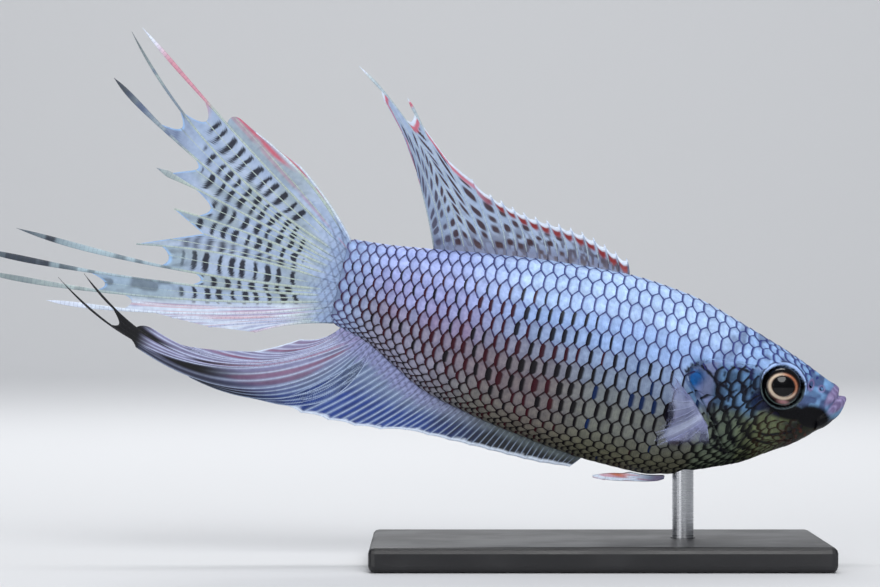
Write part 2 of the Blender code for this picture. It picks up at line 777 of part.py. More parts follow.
def make_pelvic_fin(side, label, finish):
    # Three folded rays stand out as ridges along each face.
    halves = [PELVIC_EDGE, *[PELVIC_RIDGE, PELVIC_VALLEY] * 2, PELVIC_RIDGE, PELVIC_EDGE]
    rings = []
    for s, upper, lower in PELVIC_SECTIONS:
        if upper is None:
            upper = belly_beside(s, PELVIC_APART) - GAP - 0.15
        slim = 1.0 - 0.35 * (s - PELVIC_SECTIONS[0][0]) / (PELVIC_SECTIONS[-1][0] - PELVIC_SECTIONS[0][0])
        levels = [upper + (lower - upper) * k / (len(halves) - 1) for k in range(len(halves))]
        near = [Vector((s, side * PELVIC_APART + half * slim, h)) for h, half in zip(levels, halves)]
        far = [Vector((s, side * PELVIC_APART - half * slim, h)) for h, half in zip(levels, halves)]
        rings.append(near + far[::-1])
    fin_solid = loft("pelvic_fin_" + label, rings)
    fin_solid.data.materials.append(finish)
    return fin_solid


def make_stand(base_finish, rod_finish):
    bpy.ops.mesh.primitive_cube_add(size=1.0, location=(0.0, 0.0, BASE_HEIGHT * MM / 2))
    base = bpy.context.object
    base.name = "stand_base"
    base.scale = (BASE_LENGTH * MM, BASE_DEPTH * MM, BASE_HEIGHT * MM)
    bpy.ops.object.transform_apply(location=False, scale=True)
    for home in list(base.users_collection):
        home.objects.unlink(base)
    fish.objects.link(base)
    edge = base.modifiers.new("edges", "BEVEL")
    edge.width = BASE_EDGE * MM
    edge.segments = 3
    graph = bpy.context.evaluated_depsgraph_get()
    base.data = bpy.data.meshes.new_from_object(base.evaluated_get(graph))
    base.modifiers.clear()
    floor_of_hole = (BASE_HEIGHT - ROD_INTO_BASE - GAP) * MM
    hole = upright("base_hole", ROD_RADIUS + GAP, floor_of_hole, 2 * BASE_HEIGHT * MM)
    combine(base, "DIFFERENCE", [hole])
    base.data.materials.append(base_finish)
    rod = upright("stand_rod", ROD_RADIUS, (BASE_HEIGHT - ROD_INTO_BASE) * MM, rod_top())
    rod.data.materials.append(rod_finish)
    rod.data.shade_smooth()
    rod.data.set_sharp_from_angle(angle=math.radians(40))


clear_scene()
fish = bpy.data.collections.new("black_paradise_fish")
bpy.context.scene.collection.children.link(fish)

scaled_skin = material("scaled_skin", (0.46, 0.48, 0.62), 0.35)
head_skin = material("head_skin", (0.36, 0.40, 0.52), 0.35)
gill_skin = material("gill_skin", (0.30, 0.38, 0.46), 0.3)
eye_glass = material("eye_glass", (0.03, 0.025, 0.03), 0.08)
fin_web = material("fin_web", (0.55, 0.58, 0.74), 0.4)
anal_web = material("anal_web", (0.30, 0.34, 0.58), 0.4)
clear_web = material("clear_web", (0.62, 0.62, 0.78), 0.35)
base_black = material("base_black", (0.03, 0.03, 0.035), 0.4)
rod_steel = material("rod_steel", (0.62, 0.62, 0.64), 0.28, 1.0)

make_head(head_skin)
make_trunk(scaled_skin)
make_tail_stem(scaled_skin)
for side, label in ((-1, "right"), (1, "left")):
    make_gill_cover(side, label, gill_skin)
    make_eye(side, label, eye_glass)
    make_pectoral_fin(side, label, clear_web)
    make_pelvic_fin(side, label, clear_web)
make_dorsal_fin(fin_web)
make_anal_fin(anal_web)
upper_roots = (TAIL_ROOTS[0], TAIL_MIDDLE + TAIL_SPLIT / 2)
lower_roots = (TAIL_MIDDLE - TAIL_SPLIT / 2, TAIL_ROOTS[1])
make_tail_lobe("tail_fin_upper", TAIL_UPPER, upper_roots, fin_web)
make_tail_lobe("tail_fin_lower", TAIL_LOWER, lower_roots, fin_web)
make_stand(base_black, rod_steel)
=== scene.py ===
import math

import bmesh
import bpy
import numpy as np
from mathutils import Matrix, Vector


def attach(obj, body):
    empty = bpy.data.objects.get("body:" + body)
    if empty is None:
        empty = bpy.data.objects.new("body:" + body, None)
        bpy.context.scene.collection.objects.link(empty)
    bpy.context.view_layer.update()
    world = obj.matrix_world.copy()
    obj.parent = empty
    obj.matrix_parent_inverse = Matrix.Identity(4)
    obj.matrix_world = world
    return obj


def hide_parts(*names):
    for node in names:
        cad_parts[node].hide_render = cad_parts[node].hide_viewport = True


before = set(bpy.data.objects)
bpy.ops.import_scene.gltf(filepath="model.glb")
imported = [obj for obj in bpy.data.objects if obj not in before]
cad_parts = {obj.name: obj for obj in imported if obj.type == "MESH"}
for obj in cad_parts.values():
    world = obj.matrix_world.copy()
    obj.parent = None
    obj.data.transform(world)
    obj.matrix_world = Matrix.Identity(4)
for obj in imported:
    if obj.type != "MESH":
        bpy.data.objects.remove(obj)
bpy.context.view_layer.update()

# Sizes are millimetres in the fish's own axes: s back from the lower lip's tip, y sideways
# (its right side is negative) and h up. toWorld() turns them into metres.
placing = {"snoutX": 35.0, "snoutZ": 22.7, "pitch": math.radians(12.9)}

bodyShape = {
    "stations": (  # s, back line, belly line, half width, height of the widest line
        (1.25, 1.70, -2.00, 1.00, -0.20), (1.60, 1.95, -3.10, 1.35, -0.30),
        (3.00, 2.47, -4.75, 2.10, -0.50), (5.90, 3.80, -7.45, 3.15, -0.80),
        (9.00, 5.05, -9.40, 4.15, -1.10), (12.60, 6.30, -11.70, 4.85, -1.50),
        (17.70, 7.95, -13.85, 5.45, -2.00), (22.50, 9.40, -15.70, 5.80, -2.40),
        (26.50, 10.15, -16.35, 5.95, -2.60), (33.50, 10.75, -16.20, 6.00, -2.60),
        (43.60, 10.30, -15.00, 5.45, -2.00), (52.10, 9.40, -13.45, 4.60, -1.20),
        (57.90, 8.65, -12.00, 3.90, -0.60), (63.30, 7.85, -9.35, 3.15, 0.10),
        (68.20, 7.25, -6.80, 2.50, 0.50), (73.40, 6.90, -5.40, 1.90, 0.70),
    ),
    "backPower": 2.05, "bellyPower": 1.9, "coat": 0.2, "first": 1.25, "last": 73.4,
    "tableStations": 290, "tableTurns": 361, "tableShares": 200,
    "headEnd": 25,  # the gill covers end before it
}
eye = {
    "s": 9.3, "h": 0.25, "radius": 2.85, "depth": 1.9, "proud": 0.75, "forward": 0.55,  # the ball
    "ringS": 9.45, "ringH": 0.17, "holeRadius": 2.96, "bare": 3.3,  # its hole in the skin, and the ring without scales
    "rings": 70, "turns": 96,
}


# Helpers for numbers.
def shade(red, green, blue):  # a colour as a paint card gives it, 0 to 255, made linear
    levels = np.array((red, green, blue)) / 255
    return np.where(levels > 0.04, ((levels + 0.055) / 1.055) ** 2.4, levels / 12.92)


def smoothStep(low, high, x):
    t = np.clip((x - low) / (high - low), 0, 1)
    return t * t * (3 - 2 * t)


def hill(x, centre, width):
    return np.exp(-(((x - centre) / width) ** 2))


def blendTo(base, colour, share):
    return base + (colour - base) * np.clip(share, 0, 1)[..., None]


def spread(tone, like):
    return np.broadcast_to(tone, (*np.shape(like), 3))


def laid(tones, base, *layers):  # each layer is a tone, its share and perhaps a dimming, the later over the earlier
    for tone, share, *dim in layers:
        tone = tones[tone] if isinstance(tone, str) else tone
        base = blendTo(base, tone * dim[0] if dim else tone, share)
    return base


def oval(s, h, at, size, outer, inner):  # 1 inside an oval and 0 outside it, soft from the outer edge to the inner
    return smoothStep(outer, inner, np.hypot((s - at[0]) / size[0], (h - at[1]) / size[1]))


def roundTurns(count):  # angles once round
    return np.linspace(0, 2 * math.pi, count, endpoint=False)


def unit(vectors, least=0.0):  # a row each, made one long; least keeps a nearly empty one from growing
    return vectors / np.maximum(np.linalg.norm(vectors, axis=-1), least)[..., None]


def smoothCurve(rows, column):  # a cubic through the stations that never overshoots
    xs = np.array([row[0] for row in rows], float)
    ys = np.array([row[column] for row in rows], float)
    steps = np.diff(ys) / np.diff(xs)
    slopes = np.zeros(len(xs))
    slopes[0], slopes[-1] = steps[0], steps[-1]
    same = steps[:-1] * steps[1:] > 0
    slopes[1:-1][same] = (2 * steps[:-1] * steps[1:])[same] / (steps[:-1] + steps[1:])[same]

    def at(x):
        x = np.clip(x, xs[0], xs[-1])
        i = np.clip(np.searchsorted(xs, x, side="right") - 1, 0, len(xs) - 2)
        width = xs[i + 1] - xs[i]
        t = (x - xs[i]) / width
        start = ys[i] * (1 + 2 * t) * (1 - t) ** 2 + slopes[i] * width * t * (1 - t) ** 2
        return start + ys[i + 1] * t * t * (3 - 2 * t) + slopes[i + 1] * width * t * t * (t - 1)

    return at


def softNoise(x, y, size, seed=0.0):  # smooth hills between 0 and 1, the same each run
    x, y = np.asarray(x) / size, np.asarray(y) / size
    fx, fy = x - np.floor(x), y - np.floor(y)
    fx, fy = fx * fx * (3 - 2 * fx), fy * fy * (3 - 2 * fy)

    def corner(across, up):
        mixed = np.sin((np.floor(x) + across) * 127.1 + (np.floor(y) + up) * 311.7 + seed * 74.7) * 43758.5453
        return mixed - np.floor(mixed)

    low = corner(0, 0) + (corner(1, 0) - corner(0, 0)) * fx
    high = corner(0, 1) + (corner(1, 1) - corner(0, 1)) * fx
    return low + (high - low) * fy


def toWorld(points):
    s, y, h = points[..., 0], points[..., 1], points[..., 2]
    cosine, sine = math.cos(placing["pitch"]), math.sin(placing["pitch"])
    x = placing["snoutX"] - s * cosine + h * sine
    z = placing["snoutZ"] + s * sine + h * cosine
    return np.stack([x, y, z], -1) * 0.001


# The body's smooth surface, through the stations above.
back, belly, half, belt = (smoothCurve(bodyShape["stations"], k) for k in (1, 2, 3, 4))


def ringPoint(s, turn):  # turn runs from 0 on the back to pi on the belly
    cosine, sine = np.cos(turn), np.sin(turn)
    power = np.where(cosine >= 0, bodyShape["backPower"], bodyShape["bellyPower"])
    reach = np.where(cosine >= 0, back(s) - belt(s), belt(s) - belly(s))
    h = belt(s) + reach * np.sign(cosine) * np.abs(cosine) ** (2 / power)
    y = half(s) * np.sign(sine) * np.abs(sine) ** (2 / power)
    return np.stack([s + 0 * y, y, h], -1)


def girthTable():
    stations = np.linspace(bodyShape["first"], bodyShape["last"], bodyShape["tableStations"])
    turns = np.linspace(0, math.pi, bodyShape["tableTurns"])
    points = ringPoint(stations[:, None], turns[None, :])
    steps = np.linalg.norm(np.diff(points, axis=1), axis=2)
    along = np.concatenate([np.zeros((len(stations), 1)), np.cumsum(steps, axis=1)], axis=1)
    shares = np.linspace(0, 1, bodyShape["tableShares"] + 1)
    rows = [np.interp(shares * row[-1], row, turns) for row in along]
    return stations, along[:, -1], np.array(rows)


girthStations, girths, turnRows = girthTable()
tiny = 1e-9  # the least length that unit() divides by


def girth(s):  # from the back's midline to the belly's, over one flank
    return np.interp(s, girthStations, girths)


def turnAt(s, share):
    inside = 0.001  # stay under the table's last row and column
    step = girthStations[1] - girthStations[0]
    row = np.clip((s - girthStations[0]) / step, 0, len(girthStations) - 1 - inside)
    column = np.clip(share * bodyShape["tableShares"], 0, bodyShape["tableShares"] - inside)
    i, j = row.astype(int), column.astype(int)
    fi, fj = row - i, column - j
    low = turnRows[i, j] * (1 - fj) + turnRows[i, j + 1] * fj
    high = turnRows[i + 1, j] * (1 - fj) + turnRows[i + 1, j + 1] * fj
    return low * (1 - fi) + high * fi


def flank(s, h):
    upper = h >= belt(s)
    reach = np.where(upper, back(s) - belt(s), belt(s) - belly(s))
    power = np.where(upper, bodyShape["backPower"], bodyShape["bellyPower"])
    return half(s) * np.maximum(0, 1 - (np.abs(h - belt(s)) / reach) ** power) ** (1 / power)


def flankNormal(s, h, side):
    small = 0.05
    along = (flank(s + small, h) - flank(s - small, h)) / (2 * small)
    up = (flank(s, h + small) - flank(s, h - small)) / (2 * small)
    normal = np.array([-along, side, -up])
    return normal / np.linalg.norm(normal)


def onFlank(s, h, side, lift=0.0):
    return np.array([s, side * flank(s, h), h]) + flankNormal(s, h, side) * lift


def overSkin(s, around, lift):  # around runs from the back's midline, more than 0 on the right side
    share = np.abs(around) / girth(s)
    side = np.where(around >= 0, -1.0, 1.0)
    side = np.where(share > 1, -side, side)
    share = np.where(share > 1, 2 - share, share)
    turn = turnAt(s, share)
    small = 0.02
    point = ringPoint(s, turn)
    alongS = ringPoint(s + 0.2, turn) - ringPoint(s - 0.2, turn)
    alongTurn = ringPoint(s, turn + small) - ringPoint(s, turn - small)
    normal = unit(np.cross(alongTurn, alongS), tiny)
    outward = np.sign((normal * (point - np.stack([s, 0 * s, belt(s)], -1))).sum(-1))
    point = point + normal * (outward * (lift + headRelief(s, point[..., 2])))[..., None]
    point[..., 1] *= side
    return point


gillCover = {
    "edge": ((13.2, 1.3), (17.0, 2.0), (20.9, 1.1), (22.8, -1.4), (20.6, -3.9), (17.9, -7.0), (15.3, -10.1),
             (12.3, -10.4), (11.0, -8.4), (11.7, -5.4), (13.1, -2.2)),
    "raise": 0.2, "groove": 0.16, "soft": 0.3,
}


def insideGill(s, h):  # how far inside the gill cover's edge, in mm, and negative outside it
    corners = np.array(gillCover["edge"])
    count = len(corners)
    smoothed = []
    for i in range(count):
        p = [corners[(i + k - 1) % count] for k in range(4)]
        for t in (0.0, 0.25, 0.5, 0.75):
            bend = (2 * p[0] - 5 * p[1] + 4 * p[2] - p[3]) * t * t + (3 * p[1] - p[0] - 3 * p[2] + p[3]) * t**3
            smoothed.append(p[1] + 0.5 * ((p[2] - p[0]) * t + bend))
    smoothed = np.array(smoothed)
    distance = np.full(np.shape(s), 1e9)
    crossings = np.zeros(np.shape(s), int)
    for a, b in zip(smoothed, np.roll(smoothed, -1, axis=0)):
        run = b - a
        t = np.clip(((s - a[0]) * run[0] + (h - a[1]) * run[1]) / (run @ run), 0, 1)
        distance = np.minimum(distance, np.hypot(s - a[0] - run[0] * t, h - a[1] - run[1] * t))
        spans = (a[1] > h) != (b[1] > h)
        lift = np.where(spans, (h - a[1]) / (b[1] - a[1] + 1e-12), 0)
        crossings += spans & (s < a[0] + run[0] * lift)
    return np.where(crossings % 2 == 1, distance, -distance)


def eyeRange(s, h):
    return np.hypot(s - eye["s"], h - eye["h"])


def headRelief(s, h):  # what stands out of the smooth body, or is sunk in it
    s, h = np.asarray(s, float), np.asarray(h, float)
    lift = np.zeros(np.broadcast(s, h).shape)
    near = s < bodyShape["headEnd"]
    sn, hn = (s + 0 * h)[near], (h + 0 * s)[near]
    inside = insideGill(sn, hn)
    rear = smoothStep(12.2, 14.5, sn)
    lifted = gillCover["raise"] * smoothStep(0, gillCover["soft"], inside) * rear
    lifted -= gillCover["groove"] * hill(inside, -0.22, 0.2) * rear
    away = eyeRange(sn, hn)
    lifted += 0.2 * hill(away, 3.2, 0.28)  # orbit rim
    lifted += 0.1 * hill(sn, 10.9, 0.5) * smoothStep(-9.5, -7.5, hn) * smoothStep(-3.0, -4.2, hn)  # cheek edge
    lift[near] = lifted
    return lift


# Meshes with painted points.
def storeValues(layer, values):  # one number a point, or a colour with its fourth value at 1
    if values.ndim == 1:
        layer.data.foreach_set("value", values.astype(np.float32))
        return
    rgba = np.ones((len(values), 4), np.float32)
    rgba[:, :3] = values
    layer.data.foreach_set("color", rgba.ravel())


def makeMesh(name, points, faces, paint=None, layers=None, patch=None, flip=True):
    mesh = bpy.data.meshes.new(name)
    if flip:  # toWorld() mirrors, so faces turn round with it
        faces = [face[::-1] for face in faces]
    mesh.from_pydata(points.tolist(), [], faces)
    if paint is not None:
        storeValues(mesh.color_attributes.new("paint", "FLOAT_COLOR", "POINT"), paint)
    for key, values in (layers or {}).items():
        storeValues(mesh.attributes.new(key, "FLOAT_COLOR" if values.ndim == 2 else "FLOAT", "POINT"), values)
    if patch is not None:
        layer = mesh.uv_layers.new(name="OFBake")
        corners = np.zeros(len(mesh.loops), np.int32)
        mesh.loops.foreach_get("vertex_index", corners)
        layer.data.foreach_set("uv", patch[corners].astype(np.float32).ravel())
    mesh.validate()
    mesh.shade_smooth()
    piece = bpy.data.objects.new(name, mesh)
    bpy.context.scene.collection.objects.link(piece)
    return piece


def turnOutward(piece):  # all faces look out of the solid
    form = bmesh.new()
    form.from_mesh(piece.data)
    bmesh.ops.recalc_face_normals(form, faces=form.faces)
    form.to_mesh(piece.data)
    form.free()


def rimOf(rows, columns):  # the points round the edge of a grid, in order
    rim = [i * columns for i in range(rows)] + [(rows - 1) * columns + j for j in range(1, columns)]
    return rim + [i * columns + columns - 1 for i in range(rows - 2, -1, -1)] + list(range(columns - 2, 0, -1))


def gridFaces(rows, columns, start=0, closed=False):
    faces = []
    last = columns if closed else columns - 1
    for i in range(rows - 1):
        for j in range(last):
            a, b = start + i * columns + j, start + i * columns + (j + 1) % columns
            faces.append((a, b, b + columns, a + columns))
    return faces


# Materials: node groups make the patterns, and one function makes each look.
class NodeKit:  # short words for filling one node tree
    def __init__(self, tree):
        self.tree = tree

    def link(self, source, target):
        self.tree.links.new(source, target)

    def add(self, kind, inputs=None, **settings):
        made = self.tree.nodes.new("ShaderNode" + kind)
        for key, value in settings.items():
            setattr(made, key, value)
        for key, value in (inputs or {}).items():
            if isinstance(value, bpy.types.NodeSocket):
                self.link(value, made.inputs[key])
            else:
                made.inputs[key].default_value = value
        return made

    def sums(self, operation, a, b=0.0, clamp=False):
        return self.add("Math", {0: a, 1: b}, operation=operation, use_clamp=clamp).outputs[0]

    def mixed(self, share, a, b, blend="MIX"):
        return self.add("Mix", {0: share, 6: a, 7: b}, data_type="RGBA", blend_type=blend).outputs[2]

    def ramp(self, value, low, high, start=0.0, end=1.0):
        inputs = {0: value, 1: low, 2: high, 3: start, 4: end}
        return self.add("MapRange", inputs, interpolation_type="SMOOTHSTEP").outputs[0]

    def noise(self, vector, scale, detail):
        return self.add("TexNoise", {"Vector": vector, "Scale": scale, "Detail": detail}).outputs

    def bump(self, height, strength, distance, normal=None):
        inputs = {"Height": height, "Strength": strength, "Distance": distance}
        if normal is not None:
            inputs["Normal"] = normal
        return self.add("Bump", inputs).outputs[0]

    def place(self):
        return self.add("TexCoord").outputs["Object"]

    def stored(self, name, output="Fac"):
        return self.add("Attribute", attribute_name=name).outputs[output]


def newGroup(name, inputs, outputs):
    group = bpy.data.node_groups.new(name, "ShaderNodeTree")
    for key, (kind, value) in inputs.items():
        socket = group.interface.new_socket(key, in_out="INPUT", socket_type="NodeSocket" + kind)
        if value is not None:
            socket.default_value = value
    for key, kind in outputs.items():
        group.interface.new_socket(key, in_out="OUTPUT", socket_type="NodeSocket" + kind)
    given, out = group.nodes.new("NodeGroupInput").outputs, group.nodes.new("NodeGroupOutput").inputs
    return group, NodeKit(group), given, out


def makeFleshGroup():  # mottled wet skin: small colour changes, uneven shine and a fine grain
    group, kit, given, out = newGroup(
        "fleshGrain",
        {"Colour": ("Color", None), "Mottle": ("Float", 0.15), "Mottle Size": ("Float", 900.0),
         "Grain Size": ("Float", 5200.0), "Grain Depth": ("Float", 0.15), "Shine": ("Float", 0.35)},
        {"Colour": "Color", "Roughness": "Float", "Normal": "Vector"},
    )
    place = kit.place()
    wide, fine = kit.noise(place, given["Mottle Size"], 3.0)[0], kit.noise(place, given["Grain Size"], 2.0)[0]
    swing = kit.sums("MULTIPLY", kit.sums("SUBTRACT", wide, 0.5), kit.sums("MULTIPLY", given["Mottle"], 3.2))
    warm, blue = kit.sums("ADD", swing, 1.0), kit.sums("ADD", kit.sums("MULTIPLY", swing, 0.8), 1.0)
    light = kit.add("CombineColor", {0: warm, 1: warm, 2: blue}).outputs[0]
    kit.link(kit.mixed(1.0, given["Colour"], light, "MULTIPLY"), out["Colour"])
    uneven = kit.sums("MULTIPLY", kit.sums("SUBTRACT", fine, 0.5), 0.22)
    kit.link(kit.sums("ADD", given["Shine"], uneven, True), out["Roughness"])
    kit.link(kit.bump(fine, given["Grain Depth"], 0.0002), out["Normal"])
    return group


def makeScaleGroup():  # a scale's dark rear edge, its wedge of pigment, and growth ridges round its root
    group, kit, given, out = newGroup(
        "scaleEdge",
        {"Tint": ("Color", None), "Ink": ("Color", None), "Wedge Ink": ("Color", None), "Rim": ("Float", 1.0),
         "Across": ("Float", 0.0), "Wedge": ("Float", 0.0), "Line": ("Float", 0.13), "Ridges": ("Float", 7.0)},
        {"Colour": "Color", "Height": "Float"},
    )
    sums = kit.sums
    near, far = sums("MULTIPLY", given["Line"], 0.55), sums("MULTIPLY", given["Line"], 1.75)
    # The dark line is the rim's own pigment together with painted shade at the scale's edge.
    line = kit.ramp(given["Rim"], near, far, 1.0, 0.0)
    narrow = sums("MULTIPLY", sums("POWER", sums("ABSOLUTE", given["Across"]), 8.0), 1000.0)  # no wedge at the sides
    reach = sums("MULTIPLY", given["Wedge"], sums("SUBTRACT", 1.0, narrow, True))
    wedge = kit.ramp(sums("SUBTRACT", reach, given["Rim"]), -0.05, 0.16)
    inked = kit.mixed(sums("MULTIPLY", line, 0.94), given["Tint"], given["Ink"])
    kit.link(kit.mixed(sums("MULTIPLY", wedge, 0.95), inked, given["Wedge Ink"]), out["Colour"])
    turns = sums("MULTIPLY", sums("MULTIPLY", given["Rim"], given["Ridges"]), 6.283)
    arcs = kit.add("Math", {0: turns}, operation="SINE").outputs[0]
    kit.link(sums("MULTIPLY", arcs, 0.5), out["Height"])
    return group


def makeRayGroup():  # a fin ray's short joints, as dark and pale steps along it
    group, kit, given, out = newGroup(
        "rayJoints", {"Along": ("Float", 0.0), "Length": ("Float", 0.55), "Sharp": ("Float", 0.2)},
        {"Mask": "Float", "Height": "Float"},
    )
    turns = kit.sums("FRACT", kit.sums("DIVIDE", given["Along"], given["Length"]))
    middle = kit.sums("MULTIPLY", kit.sums("ABSOLUTE", kit.sums("SUBTRACT", turns, 0.5)), 2.0)
    mask = kit.ramp(kit.sums("SUBTRACT", 1.0, middle), 0.0, given["Sharp"], 1.0, 0.0)
    kit.link(mask, out["Mask"])
    kit.link(kit.sums("MULTIPLY", mask, -1.0), out["Height"])
    return group


def newMaterial(name):
    made = bpy.data.materials.new(name)
    made.use_nodes = True
    made.node_tree.nodes.clear()
    kit = NodeKit(made.node_tree)
    shader = kit.add("BsdfPrincipled")
    kit.add("OutputMaterial", {"Surface": shader.outputs[0]})
    return made, shader.inputs, kit


fleshGrain, scaleEdge, rayJoints = makeFleshGroup(), makeScaleGroup(), makeRayGroup()


def setFlesh(kit, shader, finish, colour, height=None):  # a colour through the flesh group, and the shader's own values
    keys = ("Mottle", "Mottle Size", "Shine", "Grain Depth")
    flesh = kit.add("Group", {"Colour": colour, **{key: finish[key] for key in keys}}, node_tree=fleshGrain).outputs
    normal = flesh["Normal"]
    if height is not None:
        normal = kit.bump(height, finish["ridgeDepth"], finish["ridgeSize"], normal)
    for key, source in (("Base Color", flesh["Colour"]), ("Roughness", flesh["Roughness"]), ("Normal", normal)):
        kit.link(source, shader[key])
    for key in ("Specular IOR Level", "Coat Weight", "Coat Roughness"):
        shader[key].default_value = finish[key]


skinFinish = {
    "Mottle": 0.3, "Mottle Size": 900.0, "Shine": 0.42, "Grain Depth": 0.3,
    "Specular IOR Level": 0.1, "Coat Weight": 0.05, "Coat Roughness": 0.12,
}


def makeSkinMaterial():
    made, shader, kit = newMaterial("wetSkin")
    setFlesh(kit, shader, skinFinish, kit.stored("paint", "Color"))
    return made


scaleFinish = {
    "line": 0.17, "ridges": 6.0, "ridgeDepth": 0.2, "ridgeSize": 0.00006,
    "Mottle": 0.3, "Mottle Size": 1500.0, "Shine": 0.42, "Grain Depth": 0.1,
    "Specular IOR Level": 0.11, "Coat Weight": 0.05, "Coat Roughness": 0.15,
}


def makeScaleMaterial():
    made, shader, kit = newMaterial("pearlScale")
    inputs = {"Line": scaleFinish["line"], "Ridges": scaleFinish["ridges"]}
    for key, source in (("Tint", "paint"), ("Ink", "ink"), ("Wedge Ink", "wedgeInk")):
        inputs[key] = kit.stored(source, "Color")
    for key, source in (("Rim", "rim"), ("Across", "across"), ("Wedge", "wedge")):
        inputs[key] = kit.stored(source)
    edge = kit.add("Group", inputs, node_tree=scaleEdge).outputs
    setFlesh(kit, shader, scaleFinish, edge["Colour"], edge["Height"])
    return made


finFinish = {
    "ridgeDepth": 0.35, "ridgeSize": 0.00005, "Mottle": 0.16, "Mottle Size": 1300.0, "Shine": 0.36,
    "Grain Depth": 0.22, "Specular IOR Level": 0.3, "Coat Weight": 0.05, "Coat Roughness": 0.2,
    "joints": {  # each web's joint length, how dark the joints are, their colour, and whether the web is see-through
        "spottedFin": (0.62, 0.35, (70, 72, 110), True), "darkFin": (0.7, 0.3, (40, 44, 90), False),
        "clearFin": (0.8, 0.25, (110, 110, 160), True),
    },
}


def makeFinMaterial(name):
    made, shader, kit = newMaterial(name)
    length, dark, ink, clear = finFinish["joints"][name]
    joints = kit.add("Group", {"Along": kit.stored("along"), "Length": length}, node_tree=rayJoints).outputs
    onRay = kit.stored("onRay")
    share = kit.sums("MULTIPLY", kit.sums("MULTIPLY", joints["Mask"], onRay), dark)
    colour = kit.mixed(share, kit.stored("paint", "Color"), (*shade(*ink), 1.0))
    setFlesh(kit, shader, finFinish, colour, kit.sums("MULTIPLY", joints["Height"], onRay))
    if clear:
        kit.link(kit.stored("cover"), shader["Alpha"])
    return made


# The body's colours.
palette = {
    "backPale": shade(178, 206, 248), "upper": shade(150, 180, 232), "middle": shade(132, 150, 180),
    "lower": shade(112, 116, 112), "belly": shade(100, 100, 82), "stemLow": shade(142, 142, 168),
    "stem": shade(164, 178, 236), "rose": shade(136, 104, 136), "ruddy": shade(112, 100, 106),
    "root": shade(144, 170, 212), "rootLine": shade(88, 86, 130), "line": shade(40, 34, 84),
    "linePale": shade(52, 58, 122), "lineLow": shade(16, 10, 16), "blueWedge": shade(8, 32, 74),
    "blackWedge": shade(6, 4, 10), "redWedge": shade(48, 5, 18), "crown": shade(142, 176, 226),
    "cheek": shade(92, 100, 72), "cheekLine": shade(40, 24, 8), "black": shade(4, 4, 8),
    "gill": shade(84, 122, 162), "teal": shade(8, 80, 144), "flap": shade(122, 132, 172),
    "lip": shade(126, 112, 156), "lipFold": shade(168, 160, 204), "nostril": shade(138, 112, 158),
    "rimPale": shade(164, 192, 242), "rimGlint": shade(88, 104, 110), "rust": shade(80, 32, 16),
    "snout": shade(104, 148, 194), "moss": shade(96, 110, 92),
}


def height(s, h):  # 0 on the belly line and 1 on the back line
    return (h - belly(s)) / (back(s) - belly(s))


def flankTint(s, h):  # the pale middle of a scale
    up, patchy = height(s, h), softNoise(s, h, 2.6, 41)
    rear, front = smoothStep(44, 60, s), smoothStep(20, 13, s)
    # Lighter towards the back and darker towards the belly: partly the fish's own colours, partly painted light from
    # above and painted shade below.
    return laid(
        palette, spread(palette["belly"], s),
        ("lower", smoothStep(0.05, 0.25, up)),
        ("middle", smoothStep(0.3, 0.52, up)),
        ("upper", smoothStep(0.46, 0.7, up)),
        ("backPale", smoothStep(0.68, 0.88, up)),
        ("stem", rear * smoothStep(0.3, 0.65, up) * 0.85),
        ("ruddy", smoothStep(34, 44, s) * smoothStep(62, 54, s) * hill(up, 0.3, 0.28) * 0.75),
        ("rose", rear * hill(up + 0.16 * (patchy - 0.5), 0.5, 0.24) * (0.25 + 0.5 * patchy)),
        ("lower", rear * smoothStep(0.35, 0.12, up) * smoothStep(62, 52, s) * 0.8),
        ("stemLow", smoothStep(50, 64, s) * smoothStep(0.5, 0.3, up) * 0.85),
        ("root", smoothStep(66, 73, s) * 0.75),
        ("crown", front * smoothStep(0.55, 0.7, up) * 0.8),
        # The two dark patches behind the pectoral fin are partly dark spots of the flank, partly the fin's painted
        # shadow.
        ("black", oval(s, h, (24.3, -6.9), (1.1, 1.2), 1.2, 0.7)),  # behind the pectoral fin
        ("redWedge", 0.85 * oval(s, h, (22.6, -10.1), (1.7, 1.3), 1.2, 0.6), 0.6),
    )


headStrokes = (  # the head's dark lines: half width, then points of each line
    (0.26, (23.1, -0.7), (22.5, 0.3), (21.5, 0.8), (20.7, 0.2)),
    (0.16, (20.7, 0.2), (19.5, -0.7), (18.5, -1.2), (17.6, -1.6), (16.5, -2.3), (15.7, -1.7)),
    (0.17, (18.0, 0.2), (17.7, -0.7), (17.3, -1.5), (16.5, -2.3), (16.6, -3.4)),
    (0.14, (18.8, -1.2), (18.4, -2.6), (17.2, -3.4)),
    (0.24, (18.5, -4.4), (18.0, -6.1), (17.3, -7.2), (17.5, -8.7), (16.7, -9.9)),
    (0.2, (16.7, -4.4), (16.1, -5.6), (15.5, -6.8), (14.9, -8.4), (14.2, -9.4)),
    (0.2, (19.0, -8.2), (18.4, -9.2), (17.3, -10.1), (15.2, -10.8)),
    (0.13, (16.2, 1.3), (15.1, 1.2), (13.9, 1.0)),
    (0.12, (15.8, -0.5), (14.6, -1.1), (14.3, -2.2)),
    (0.1, (17.0, 1.2), (16.2, 2.0), (15.1, 2.0)),
    (0.16, (14.3, 0.7), (13.8, -1.4), (12.7, -2.6)),
    (0.13, (14.9, -5.8), (13.9, -7.1), (11.9, -8.1), (9.7, -8.1), (7.3, -7.1)),
    (0.13, (13.6, -5.5), (12.1, -6.9), (10.1, -7.0), (7.7, -6.2), (5.7, -5.2), (5.4, -4.1)),
)


